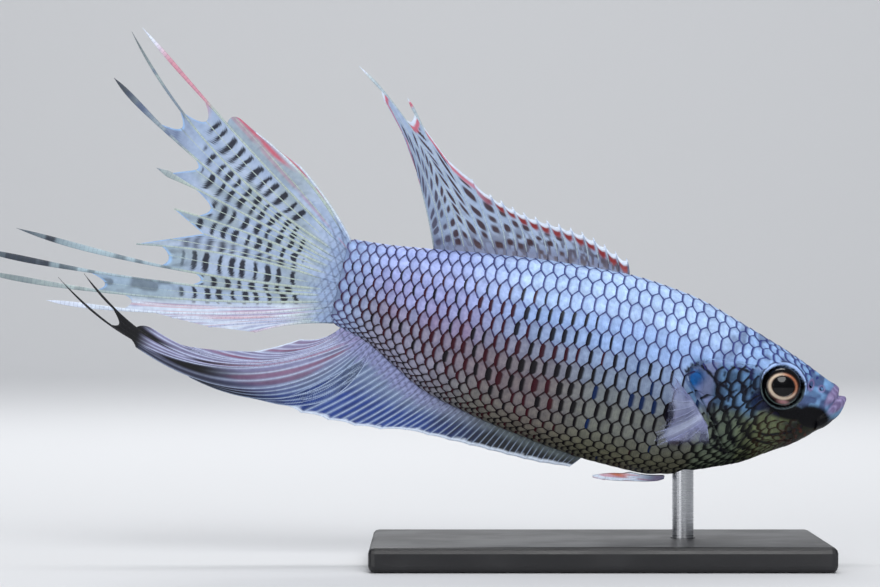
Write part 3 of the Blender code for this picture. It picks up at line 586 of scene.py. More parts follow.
def strokes(s, h):
    dark = np.zeros(np.shape(s))
    ragged = 0.25 * (softNoise(s, h, 0.6, 31) - 0.5)
    for width, *points in headStrokes:
        for (s1, h1), (s2, h2) in zip(points, points[1:]):
            run, rise = s2 - s1, h2 - h1
            t = np.clip(((s - s1) * run + (h - h1) * rise) / (run**2 + rise**2), 0, 1)
            away = np.hypot(s - s1 - t * run, h - h1 - t * rise) + ragged
            dark = np.maximum(dark, smoothStep(width + 0.14, width - 0.06, away))
    return dark


def headTint(s, h):  # the head's own marks, laid over flankTint
    blotch = smoothStep(0.45, 0.8, softNoise(s, h, 1.25, 21)) * smoothStep(21, 15, s) * smoothStep(-3.0, -0.5, h)
    gill = smoothStep(11.6, 13.2, s) * smoothStep(23.5, 21.5, s) * smoothStep(2.0, 0.6, h) * smoothStep(-6.0, -3.8, h)
    murk = smoothStep(0.4, 0.75, softNoise(s, h * 0.7, 1.1, 27)) * smoothStep(11, 13, s) * smoothStep(20, 18, s)
    inside = insideGill(s, h)
    spot = np.exp(-(((s - 21.5 + 0.25 * h) / 1.35) ** 2 + ((h + 1.5) / 1.6) ** 2) ** 1.5)
    tealLight = (0.55 + 0.8 * softNoise(s * 1.6, h * 0.7, 0.6, 17))[..., None]
    edge = hill(inside, -0.1, 0.26) * smoothStep(12.5, 15.0, s) * 0.8
    corner = oval(s, h, (12.3, -2.6), (1.5, 1.5), 1.1, 0.75)
    below = smoothStep(0.6, 1.6, 0.7 * (s - eye["s"]) - 0.7 * (h - eye["h"]))
    underEye = oval(s, h, (7.9, -3.1), (4.4, 1.45), 1.1, 0.6)
    patch = oval(s, h, (4.3, -3.2), (3.0, 1.95), 1.12, 0.7)
    chin = smoothStep(9.5, 6.5, s) * smoothStep(-2.2, -3.4, h + 0.28 * (s - 2.0))
    fleck = smoothStep(0.66, 0.86, softNoise(s, h, 0.42, 3)) * chin * (1 - underEye) * (1 - patch)
    return laid(
        palette, flankTint(s, h),
        ("snout", smoothStep(8.5, 5.0, s) * 0.8),
        ("line", smoothStep(8.5, 6.5, s) * smoothStep(0.42, 0.72, softNoise(s, h, 0.8, 12)) * 0.7),
        ("line", blotch * 0.5, 0.8),
        ("cheek", smoothStep(17.5, 13.5, s) * smoothStep(-2.6, -4.2, h)),
        ("gill", gill * 0.9),
        ("black", murk * smoothStep(1.5, 0, h) * 0.6),
        ("moss", smoothStep(13, 15, s) * smoothStep(20.5, 19, s) * smoothStep(-4.0, -5.5, h) * 0.7),
        ("flap", smoothStep(0, 0.4, inside) * smoothStep(18.4, 19.6, s) * 0.9),
        ("teal", spot * 1.15 * smoothStep(-0.1, 0.2, inside), tealLight),
        ("black", edge * smoothStep(0.5, -0.5, h)),
        ("black", strokes(s, h) * 0.96),
        ("blueWedge", corner * 0.93, 0.5),
        ("black", smoothStep(4.1, 3.4, eyeRange(s, h)) * below * 0.9),
        ("black", np.maximum(np.maximum(underEye, patch), 0.9 * chin)),
        ("rust", fleck * 0.7),
    )


def lineInk(s, h):  # the dark line round a scale
    # The line is partly the rim's pigment and partly painted shade at the scale's edge.
    up = height(s, h)
    redder = smoothStep(34, 44, s) * hill(up, 0.4, 0.26) * (0.45 + 0.5 * softNoise(s, h, 2.2, 43))
    return laid(
        palette, spread(palette["lineLow"], s),
        ("line", smoothStep(0.4, 0.65, up)),
        ("linePale", smoothStep(0.62, 0.8, up) * smoothStep(60, 45, s)),
        ("redWedge", redder),
        ("rootLine", smoothStep(68, 73, s) * 0.8),
        ("cheekLine", smoothStep(13, 11, s) * smoothStep(-4.0, -5.2, h) * 0.8),
        ("black", smoothStep(10.5, 12.5, s) * smoothStep(22.5, 20.0, s) * smoothStep(2.2, 0.4, h) * 0.95),
    )


# The skin: one closed surface from the lips to the root of the tail.
skinShape = {
    "rings": ((1.25, 6, 40), (6.2, 73.4, 240)), "turns": 160, "jawRings": 24, "jawTurns": 40,
    "voxel": 0.17, "smooth": 3, "trunkFrom": 22.0, "trunkShare": 0.42, "holeDepth": 1.6,
    "jaw": (  # s, middle, underside, half width
        (-0.02, 0.50, 0.05, 0.30), (0.10, 0.72, -0.75, 0.85), (0.45, 0.75, -1.95, 1.25),
        (1.10, 0.50, -2.85, 1.60), (2.10, -0.50, -4.10, 2.00), (3.40, -2.20, -5.05, 2.10),
    ),
    "lips": (((1.78, 1.12), (2.95, -1.90), 0.60), ((0.66, 0.12), (2.35, -2.75), 0.60)),  # front, corner, radius
    "lipSpread": 1.85, "lipSteps": 41, "lipSides": 20,
    "nostrils": ((5.5, 1.25, 0.26, 0.5), (3.9, 1.05, 0.30, 0.3)),  # s, h, half length, half height
}


def closedLoft(rings, end=None):  # rings joined into a tube and closed to a point at both ends
    count = rings.shape[1]
    ends = np.stack([rings[0].mean(0), rings[-1].mean(0) if end is None else end])
    points = np.concatenate([rings.reshape(-1, 3), ends])
    faces = gridFaces(len(rings), count, closed=True)
    first, last, base = len(points) - 2, len(points) - 1, (len(rings) - 1) * count
    faces += [((k + 1) % count, k, first) for k in range(count)]
    faces += [(base + k, base + (k + 1) % count, last) for k in range(count)]
    return points, faces


def lipRoll(front, corner, radius):
    turns = np.linspace(-math.pi / 2, math.pi / 2, skinShape["lipSteps"])
    sides = roundTurns(skinShape["lipSides"])
    share = 1 - np.cos(turns)
    path = np.stack([front[0] + (corner[0] - front[0]) * share, skinShape["lipSpread"] * np.sin(turns),
                     front[1] + (corner[1] - front[1]) * share], -1)
    ahead = np.gradient(path, axis=0)
    across = unit(np.cross(ahead, (0.3, 0.1, 1.0)))
    lift = unit(np.cross(across, ahead))
    wide = (radius * (0.6 + 0.4 * np.cos(turns)))[:, None, None]  # a lip thins out towards its corners
    ring = across[:, None] * np.cos(sides)[None, :, None] + lift[:, None] * np.sin(sides)[None, :, None]
    return closedLoft(path[:, None] + ring * wide)


def bodyForm():  # the body, with room over it for the scales
    stations = np.concatenate([np.linspace(*row) for row in skinShape["rings"]])
    rings = ringPoint(stations[:, None], roundTurns(skinShape["turns"])[None, :])
    outward = rings - np.stack([stations, 0 * stations, belt(stations)], -1)[:, None]
    coat = bodyShape["coat"] * smoothStep(3.0, 8.0, stations)
    away = np.maximum(np.linalg.norm(outward, axis=-1), 0.01)[..., None]
    return closedLoft(rings - outward / away * coat[:, None, None])


def jawForm():
    turns = roundTurns(skinShape["jawTurns"])
    fine = np.linspace(skinShape["jaw"][0][0], skinShape["jaw"][-1][0], skinShape["jawRings"])
    top, bottom, wide = (smoothCurve(skinShape["jaw"], k)(fine) for k in (1, 2, 3))
    middle, reach = (top + bottom) / 2, (top - bottom) / 2
    return closedLoft(np.stack([fine[:, None] + 0 * turns, wide[:, None] * np.sin(turns),
                                middle[:, None] + reach[:, None] * np.cos(turns)], -1))


def skinRelief(s, y, h):  # the gill covers, the eyes' holes, the nostrils and the lips' folds
    lift = headRelief(s, h) * smoothStep(1.5, 4.0, s)
    hole, rim = np.hypot(s - eye["ringS"], h - eye["ringH"]), eye["holeRadius"]
    lift = lift * smoothStep(rim - 0.3, rim, hole) - skinShape["holeDepth"] * smoothStep(rim + 0.06, rim - 0.16, hole)
    for ns, nh, length, tall in skinShape["nostrils"]:
        away = np.hypot((s - ns) / length, (h - nh) / tall)
        lift += 0.13 * hill(away, 1.5, 0.45) - 0.45 * smoothStep(1.15, 0.5, away)
    lift += 0.03 * np.sin(y * 14) * smoothStep(3.2, 2.0, s)
    return lift + (softNoise(s, h, 0.5, 8) - 0.5) * 0.05 * smoothStep(9, 4, s)


def rowsOf(mesh, key):  # the mesh's points or normals, a row each
    values = np.zeros(len(mesh.vertices) * 3)
    mesh.vertices.foreach_get(key, values)
    return values.reshape(-1, 3)


def makeSkin():
    points, faces, start = [], [], 0
    for formPoints, formFaces in (bodyForm(), jawForm(), *(lipRoll(*row) for row in skinShape["lips"])):
        points.append(formPoints)
        faces += [tuple(k + start for k in face) for face in formFaces]
        start += len(formPoints)
    piece = makeMesh("fishSkin", np.concatenate(points), faces, flip=False)
    turnOutward(piece)
    remesh = piece.modifiers.new("remesh", "REMESH")
    remesh.mode, remesh.voxel_size = "VOXEL", skinShape["voxel"]
    settle = piece.modifiers.new("settle", "SMOOTH")
    settle.factor, settle.iterations = 0.5, skinShape["smooth"]
    keepModifiers(piece)
    co = rowsOf(piece.data, "co")
    s = co[:, 0]
    lifted = co + rowsOf(piece.data, "normal") * skinRelief(*co.T)[:, None]
    piece.data.vertices.foreach_set("co", lifted.ravel())
    group = piece.vertex_groups.new(name="trunk")
    for k in np.flatnonzero(s > skinShape["trunkFrom"]).tolist():
        group.add((k,), 1.0, "REPLACE")
    thin = piece.modifiers.new("thin", "DECIMATE")  # the trunk lies under scales and needs fewer faces
    thin.ratio, thin.vertex_group = skinShape["trunkShare"], "trunk"
    keepModifiers(piece)
    mesh = piece.data
    co = rowsOf(mesh, "co")
    mesh.vertices.foreach_set("co", toWorld(co).ravel())
    mesh.flip_normals()
    storeValues(mesh.color_attributes.new("paint", "FLOAT_COLOR", "POINT"), skinPaint(*co.T))
    mesh.shade_smooth()
    mesh.update()
    return piece


def keepModifiers(piece):  # the piece keeps what its modifiers make
    graph = bpy.context.evaluated_depsgraph_get()
    made = bpy.data.meshes.new_from_object(piece.evaluated_get(graph))
    piece.modifiers.clear()
    old = piece.data
    piece.data = made
    bpy.data.meshes.remove(old)


def skinPaint(s, y, h):
    streak = 0.5 + 0.5 * np.sin(y * 13 + 3 * softNoise(s, h, 0.6, 5))
    upperLip = smoothStep(0.95, 0.55, np.hypot(s - 1.75 - 0.45 * (1.1 - h), (h - 1.1) * 0.35))
    lowerLip = smoothStep(1.15, 0.7, np.hypot(s - 0.55 - 0.6 * (0.2 - h), (h - 0.1) * 0.42))
    lips = np.maximum(upperLip, lowerLip)
    away = np.hypot(s - eye["ringS"], h - eye["ringH"])
    rise = np.sin(np.arctan2(h - eye["ringH"], eye["ringS"] - s))
    onTop, rim = smoothStep(-0.25, 0.35, rise), eye["holeRadius"]
    # The skin is darkened between the scales as painted shade.
    colour = laid(
        palette, headTint(s, h) * (1 - 0.35 * smoothStep(12, 18, s))[:, None],  # darker between the scales
        ("lip", lips, 0.75),
        ("lipFold", lips * streak * 0.45),
        ("black", (1 - onTop) * smoothStep(3.4, 3.2, away)),
        ("rimPale", onTop * smoothStep(3.42, 3.3, away)),
        ("black", smoothStep(0.75, 0.35, rise) * smoothStep(3.28, 3.18, away)),
        ("rimGlint", (1 - onTop) * hill(away, 3.12, 0.09) * 0.7),
        ("line", hill(away, 3.5, 0.1) * onTop, 0.8),
        ("black", smoothStep(rim + 0.06, rim - 0.06, away)),
    )
    for ns, nh, length, tall in skinShape["nostrils"]:
        rim = np.hypot((s - ns) / length, (h - nh) / tall)
        colour = laid(palette, colour, ("nostril", hill(rim, 1.45, 0.4) * 0.6), ("black", smoothStep(1.05, 0.75, rim)))
    return np.clip(colour, 0, 1)


# The scales: each is a small solid, laid in rows over the skin.
scaleCoat = {
    "rowStep": (
        (1, 0.95), (8, 1.10), (12, 1.35), (16, 1.90), (21, 2.35), (45, 2.50), (55, 2.15), (65, 1.75), (74, 1.45),
    ),
    "period": ((1, 1.05), (8, 1.25), (14, 1.45), (20, 1.66), (45, 1.70), (60, 1.50), (74, 1.30)),
    "start": 4.4, "end": 73.0, "rows": 60, "crowd": 0.7, "smallest": 0.12,  # where the rows run
    "slope": 0.066, "thick": 0.05, "sink": -0.2, "length": 1.8, "flat": 0.33, "round": 0.06, "reach": 0.8,
    "dome": 0.03, "roll": 0.012, "wedge": 0.255, "perPiece": 250, "seed": 11,
    "headEnd": 24, "eyeEnd": 16,  # up to there a scale takes the head's marks, and may reach the eye's rim
    "mapLong": 75, "mapRound": 70, "mapPatch": 0.003,  # the body's size on the map, and one scale's
}
rowStep, period = (smoothCurve(scaleCoat[key], 1) for key in ("rowStep", "period"))
scaleAlong = np.array([0, 0.2, 0.38, 0.52, 0.64, 0.74, 0.83, 0.9, 0.96, 1.0])  # from a scale's root to its rear edge
scaleAcross = np.linspace(-1, 1, 27)
scaleRim = rimOf(len(scaleAlong), len(scaleAcross))


def scaleFaces():  # one scale's top, its edge and its flat underside
    faces = gridFaces(len(scaleAlong), len(scaleAcross))
    under, count = len(scaleAlong) * len(scaleAcross), len(scaleRim)
    pairs = [(k, (k + 1) % count) for k in range(count)]
    faces += [(scaleRim[b], scaleRim[a], under + a, under + b) for a, b in pairs]
    return faces + [(under + b, under + a, under + count) for a, b in pairs]


def offEye(points):  # what would reach over the eye goes out to its rim
    aside, rise = points[..., 0] - eye["ringS"], points[..., 2] - eye["ringH"]
    out = np.maximum(1.0, eye["bare"] / np.maximum(np.hypot(aside, rise), 0.01))
    s, h = eye["ringS"] + aside * out, eye["ringH"] + rise * out
    proud = np.abs(points[..., 1]) - flank(points[..., 0], points[..., 2])
    return np.stack([s, np.sign(points[..., 1]) * (flank(s, h) + proud), h], -1)


def rowLine(row, s):  # where a row runs, and how tall its scales are: smaller towards the belly line
    share, squeeze, crowd = row * float(rowStep(s)) / float(girth(s)), 1.0, scaleCoat["crowd"]
    if share > crowd:
        squeeze = math.exp(-(share - crowd) / (1 - crowd))
        share = crowd + (1 - crowd) * (1 - squeeze)
    return share * float(girth(s)), float(rowStep(s)) * max(0.4, squeeze), squeeze


def scalePlaces(side):
    places, column, s = [], 0, scaleCoat["start"]
    while s < scaleCoat["end"]:
        for row in range(column % 2, scaleCoat["rows"], 2):
            around, tall, squeeze = rowLine(row, s)
            if squeeze > scaleCoat["smallest"] and (side < 0 or row):
                slide = (rowLine(row, s + 0.2)[0] - rowLine(row, s - 0.2)[0]) / 0.4
                places.append((s, around, tall, slide))
        s += float(period(s)) / 2
        column += 1
    return places


def shapeScale(s, h, around, tall, slide, wide, growth, turn):
    v = scaleAcross[None, :] * (scaleCoat["reach"] * tall * growth) + 0 * scaleAlong[:, None]
    flat = scaleCoat["flat"] - 0.13 * float(smoothStep(38, 58, s))
    bend = (np.abs(scaleAcross) * scaleCoat["reach"] - flat) / (1 - 2 * flat)
    bend = 0.5 * (bend + np.sqrt(bend**2 + scaleCoat["round"]))
    edgeAt = -0.5 * wide * (bend - bend[len(scaleAcross) // 2])
    long = scaleCoat["length"] * growth
    if s > eye["ringS"] and eyeRange(s, h) < 6.0:  # no root reaches over the eye
        long = min(long, max(0.5, (float(eyeRange(s, h)) - eye["bare"]) / wide + 0.4))
    root = -long * wide + min(0.5, 0.5 * long) * wide * np.abs(scaleAcross) ** 3
    u = root[None, :] + (edgeAt - root)[None, :] * scaleAlong[:, None] + 0.5 * wide
    lift = scaleCoat["sink"] + scaleCoat["slope"] * (u + scaleCoat["length"] * wide)
    lift = lift + scaleCoat["dome"] * (1 - scaleAcross[None, :] ** 2) - scaleCoat["dome"]
    lift = lift - scaleCoat["roll"] * scaleAlong[:, None] ** 12
    sAt = s + (u * math.cos(turn) - v * math.sin(turn))
    aroundAt = around + (u * (math.sin(turn) + 0.9 * slide) + v * math.cos(turn))
    top = overSkin(sAt, aroundAt, lift).reshape(-1, 3)
    low = overSkin(sAt.ravel()[scaleRim], aroundAt.ravel()[scaleRim], lift.ravel()[scaleRim] - scaleCoat["thick"])
    points = np.concatenate([top, low, low.mean(0)[None]])
    slant = (1 - 0.4 * smoothStep(0.1, 0.7, bend)) * (1 - 0.32 * smoothStep(0.45, 0.0, bend))  # widest at its flat
    rim = (edgeAt[None, :] - (u - 0.5 * wide)) * slant[None, :]
    grids = (u, 0.0), (v, 0.0), (rim, wide)  # with what the middle of the underside has
    u, v, rim = (np.concatenate([grid.ravel(), grid.ravel()[scaleRim], [last]]) for grid, last in grids)
    return offEye(points) if s < scaleCoat["eyeEnd"] else points, u, v / tall, rim


def paintScale(s, h, points, v, rim, wide, draw, rough):  # its colours, and how far its wedge reaches
    size, up = len(points), float(height(s, h))
    inner = hill(rim, 0.6 * wide, 0.45 * wide) * hill(v, 0, 0.42)
    whole = np.array(s), np.array(h)
    onHead = s < scaleCoat["headEnd"]
    tint = headTint(points[:, 0], points[:, 2]) if onHead else spread(flankTint(*whole), rim)
    light = 1 + (draw[4] - 0.5) * 0.18
    # A scale is a little lighter in its middle and darker towards its edges: painted shade at the edges and beside the
    # neighbour's rim.
    edgeShade = 0.16 * (1 - inner) * (1 - 0.5 * smoothStep(0.3, 0.1, up))
    tint = blendTo(tint * (light * (0.9 + 0.16 * inner))[:, None], palette["line"], edgeShade)
    highest = 0.6 + 0.2 * smoothStep(24, 46, s)
    strength = smoothStep(highest + 0.08, highest - 0.08, up) * (0.4 + 0.6 * smoothStep(0.08, 0.3, up))
    strength = float(strength * smoothStep(17, 23, s) * (1 - 0.3 * smoothStep(58, 70, s)))
    strength = strength * (0.5 + 0.5 * draw[5] + 0.3 * smoothStep(30, 42, s))
    heavy = 1 + 1.2 * float(smoothStep(10, 12.5, s) * smoothStep(22, 19.5, s) * smoothStep(2.2, 0.6, h)) + 0.3 * rough
    heavy += 0.35 * float(smoothStep(0.55, 0.35, up) * smoothStep(20, 30, s))
    red = float(np.clip(smoothStep(34, 46, s) * 0.6 + 0.4 * (draw[6] - 0.4), 0, 1))
    dark = "blackWedge" if draw[7] < 0.7 + 0.25 * (up < 0.35) + 0.3 * (s > 36) else "blueWedge"
    wedgeInk = palette["redWedge" if red > draw[7] else dark]
    wedge = scaleCoat["wedge"] * wide * strength * (1 - 0.2 * float(smoothStep(46, 60, s)))
    return {"paint": np.clip(tint, 0, 1), "ink": spread(lineInk(*whole), rim), "wedgeInk": spread(wedgeInk, rim),
            "rim": rim / heavy, "across": v, "wedge": np.full(size, wedge)}


def layScales(name, side, material):
    rng = np.random.default_rng(scaleCoat["seed"] + side)
    template, scales = scaleFaces(), []
    for s, around, tall, slide in scalePlaces(side):
        draw = rng.random(8)
        h = overSkin(np.array([s]), np.array([around]), np.zeros(1))[0][2]
        rough = float(smoothStep(18, 11, s))
        if not offHead(s, h):
            continue
        wide = float(period(s))
        s += (draw[0] - 0.5) * wide * (0.13 + 0.25 * rough)
        around += (draw[1] - 0.5) * tall * (0.07 + 0.2 * rough)
        growth = 1 + (draw[2] - 0.5) * (0.1 + 0.25 * rough)
        turn = (draw[3] - 0.5) * (0.12 + 0.4 * rough)
        points, u, v, rim = shapeScale(s, h, around, tall, slide, wide, growth, turn)
        points[:, 1] *= -side
        scale = paintScale(s, h, points, v, rim, wide, draw, rough)
        place = np.array([0.02 + 0.96 * s / scaleCoat["mapLong"], 0.5 + side * around / scaleCoat["mapRound"]])
        local = np.stack([u / (scaleCoat["length"] * wide), v / 1.6], 1)
        patch = place + scaleCoat["mapPatch"] * (local + (0.5, 0.0))  # its own part of the map
        scales.append({**scale, "points": points, "patch": patch})
    for part, low in zip(("Front", "Middle", "Rear"), range(0, len(scales), scaleCoat["perPiece"])):
        few = scales[low:low + scaleCoat["perPiece"]]
        size = len(few[0]["points"])
        faces = [tuple(k * size + i for i in face) for k in range(len(few)) for face in template]
        if side > 0:
            faces = [face[::-1] for face in faces]
        layers = {key: np.concatenate([scale[key] for scale in few]) for key in few[0]}
        points, paint, patch = (layers.pop(key) for key in ("points", "paint", "patch"))
        piece = makeMesh(name + part, toWorld(points), faces, paint, layers, patch)
        piece.data.materials.append(material)
        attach(piece, "root")
        print(name + part, len(few), "scales", len(faces), "faces")


def offHead(s, h):  # no scales over the eye, the nostrils, the lips and the open flap of the gill
    if eyeRange(s, h) < 3.7 or s < 4.0 or (s < 6.6 and -0.6 < h < 2.2):
        return False
    if s < 7.6 and h < 1.0:
        return h < -4.4 and s > 5.0
    if 18.6 < s < 22.9 and -3.6 < h < 0.9 and insideGill(np.array(s), np.array(h)) > 0.1:
        return False
    return not (h < 0 and math.hypot((s - 7.6) / 4.1, (h + 3.15) / 1.3) < 1)


# The eyes.
eyeColours = {
    "pupil": shade(3, 3, 5), "cream": shade(224, 208, 186), "copper": shade(176, 92, 48), "brown": shade(52, 26, 22),
    "ring": shade(8, 8, 12), "patch": shade(196, 146, 150), "grey": shade(96, 112, 108),
}


def makeEye(side, label, material):
    centre = onFlank(eye["s"], eye["h"], side, eye["proud"] - eye["depth"])
    out = flankNormal(eye["s"], eye["h"], side) * (1 - eye["forward"]) + np.array([0, side, 0]) * eye["forward"]
    out /= np.linalg.norm(out)
    forward = np.array([-1.0, 0, 0]) + out * out[0]
    forward /= np.linalg.norm(forward)
    up = np.cross(out, forward) * (1 if np.cross(out, forward)[2] > 0 else -1)
    radii, turns = np.concatenate([np.linspace(0.02, 0.97, eye["rings"]), [1.0]]), roundTurns(eye["turns"])
    x, y = radii[:, None] * np.cos(turns) * eye["radius"], radii[:, None] * np.sin(turns) * eye["radius"]
    dome = eye["depth"] * np.sqrt(np.maximum(0, 1 - radii**2))[:, None] + 0 * turns
    pupil = np.hypot((x + 0.06) / 1.6, (y - 0.02) / 1.4)  # 1 at the pupil's edge
    dome = dome - 0.10 * smoothStep(1.06, 0.94, pupil) - 0.05 * hill(pupil, 1.32, 0.12) + 0.03 * hill(pupil, 1.12, 0.08)
    front = centre + x[..., None] * forward + y[..., None] * up + dome[..., None] * out
    points, faces = closedLoft(front, centre - out * eye["depth"] * 0.8)
    x, y = np.append(x.ravel(), [0, 0]), np.append(y.ravel(), [0, 0])
    pupil = np.hypot((x + 0.06) / 1.6, (y - 0.02) / 1.4)
    spoke = 0.5 + 0.5 * np.sin(np.arctan2(y, x) * 46 + 2.5 * softNoise(x, y, 0.35, 2))
    # A pink patch low in the eye: a painted highlight.
    pinkHighlight = smoothStep(0.8, 0.1, np.hypot((x - 0.5) / 1.5, (y + 2.15) / 0.6) * 0.9)
    outside = smoothStep(2.1, 2.3, np.hypot(x, y)) + smoothStep(0.9, 1.5, y) * smoothStep(1.32, 1.45, pupil)
    copper = smoothStep(-0.6, 1.6, x + 0.5 * y) * 0.75 + 0.2 * spoke
    colour = laid(
        eyeColours, spread(eyeColours["brown"], x),
        ("ring", outside),
        ("patch", pinkHighlight * (0.7 + 0.3 * spoke), 0.85),
        (laid(eyeColours, spread(eyeColours["cream"], x), ("copper", copper)), hill(pupil, 1.2, 0.11) * 1.2),
        ("cream", hill(pupil, 1.22, 0.1) * smoothStep(0.0, -1.0, y) * 0.8),
        ("pupil", smoothStep(1.05, 0.98, pupil)),
        ("grey", hill(np.hypot(x, y), 2.52, 0.07) * smoothStep(-0.6, -1.6, y) * 0.8),
    )
    piece = makeMesh("eyeBall" + label, toWorld(points), faces, np.clip(colour, 0, 1), flip=side > 0)
    turnOutward(piece)
    piece.data.materials.append(material)
    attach(piece, "root")
    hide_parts("eye_" + label.lower())


def makeEyeMaterial():
    made, shader, kit = newMaterial("wetEye")
    fibre = kit.noise(kit.place(), 6000.0, 3.0)
    light = kit.mixed(0.35, (1, 1, 1, 1), fibre[1])
    kit.link(kit.mixed(1.0, kit.stored("paint", "Color"), light, "MULTIPLY"), shader["Base Color"])
    kit.link(kit.ramp(fibre[0], 0.3, 0.7, 0.16, 0.3), shader["Roughness"])
    for key, value in (("Specular IOR Level", 0.05), ("Coat Weight", 1.0), ("Coat Roughness", 0.02), ("Coat IOR", 1.3)):
        shader[key].default_value = value
    return made


# The fins: rays, and webs between them.
finBuild = {"raySides": 10, "searchSteps": 401, "leastRows": 8, "leastSteps": 16, "thinnest": 0.05, "narrowest": 0.03}


def pathThrough(root, via, tip):
    root, via, tip = (np.array(point, float) for point in (root, via, tip))
    share = np.linalg.norm(via - root) / (np.linalg.norm(via - root) + np.linalg.norm(tip - via))

    def at(t):
        t = np.asarray(t, float)[..., None]
        near = root * (t - share) * (t - 1) / share + via * t * (t - 1) / (share * (share - 1))
        return near + tip * t * (t - share) / (1 - share)

    return at


def nearest(path, mark):
    steps = np.linspace(0, 1, finBuild["searchSteps"])
    points = path(steps)
    return steps[np.argmin((points[:, 0] - mark[0]) ** 2 + (points[:, 2] - mark[1]) ** 2)]


def webReach(rays, deep):  # for each web, how far out it runs on its two rays and between them
    reach = []
    for one, other in zip(rays, rays[1:]):
        mark, paths = one["webEnd"], (one["path"], other["path"])
        if mark is None:
            reach.append((1.0, 1.0 - deep, 1.0))
            continue
        first, second = (np.linalg.norm(path(1.0) - path(0.0)) for path in paths)
        if isinstance(mark, float):
            reach.append((1 - 0.4 * mark / first, 1 - mark / min(first, second), 1 - 0.4 * mark / second))
            continue
        near = [nearest(path, mark) for path in paths]
        away = [1.6 * np.linalg.norm(path(t) - (mark[0], 0, mark[1])) for path, t in zip(paths, near)]
        reach.append((min(1.0, near[0] + away[0] / first), sum(near) / 2, min(1.0, near[1] + away[1] / second)))
    return reach


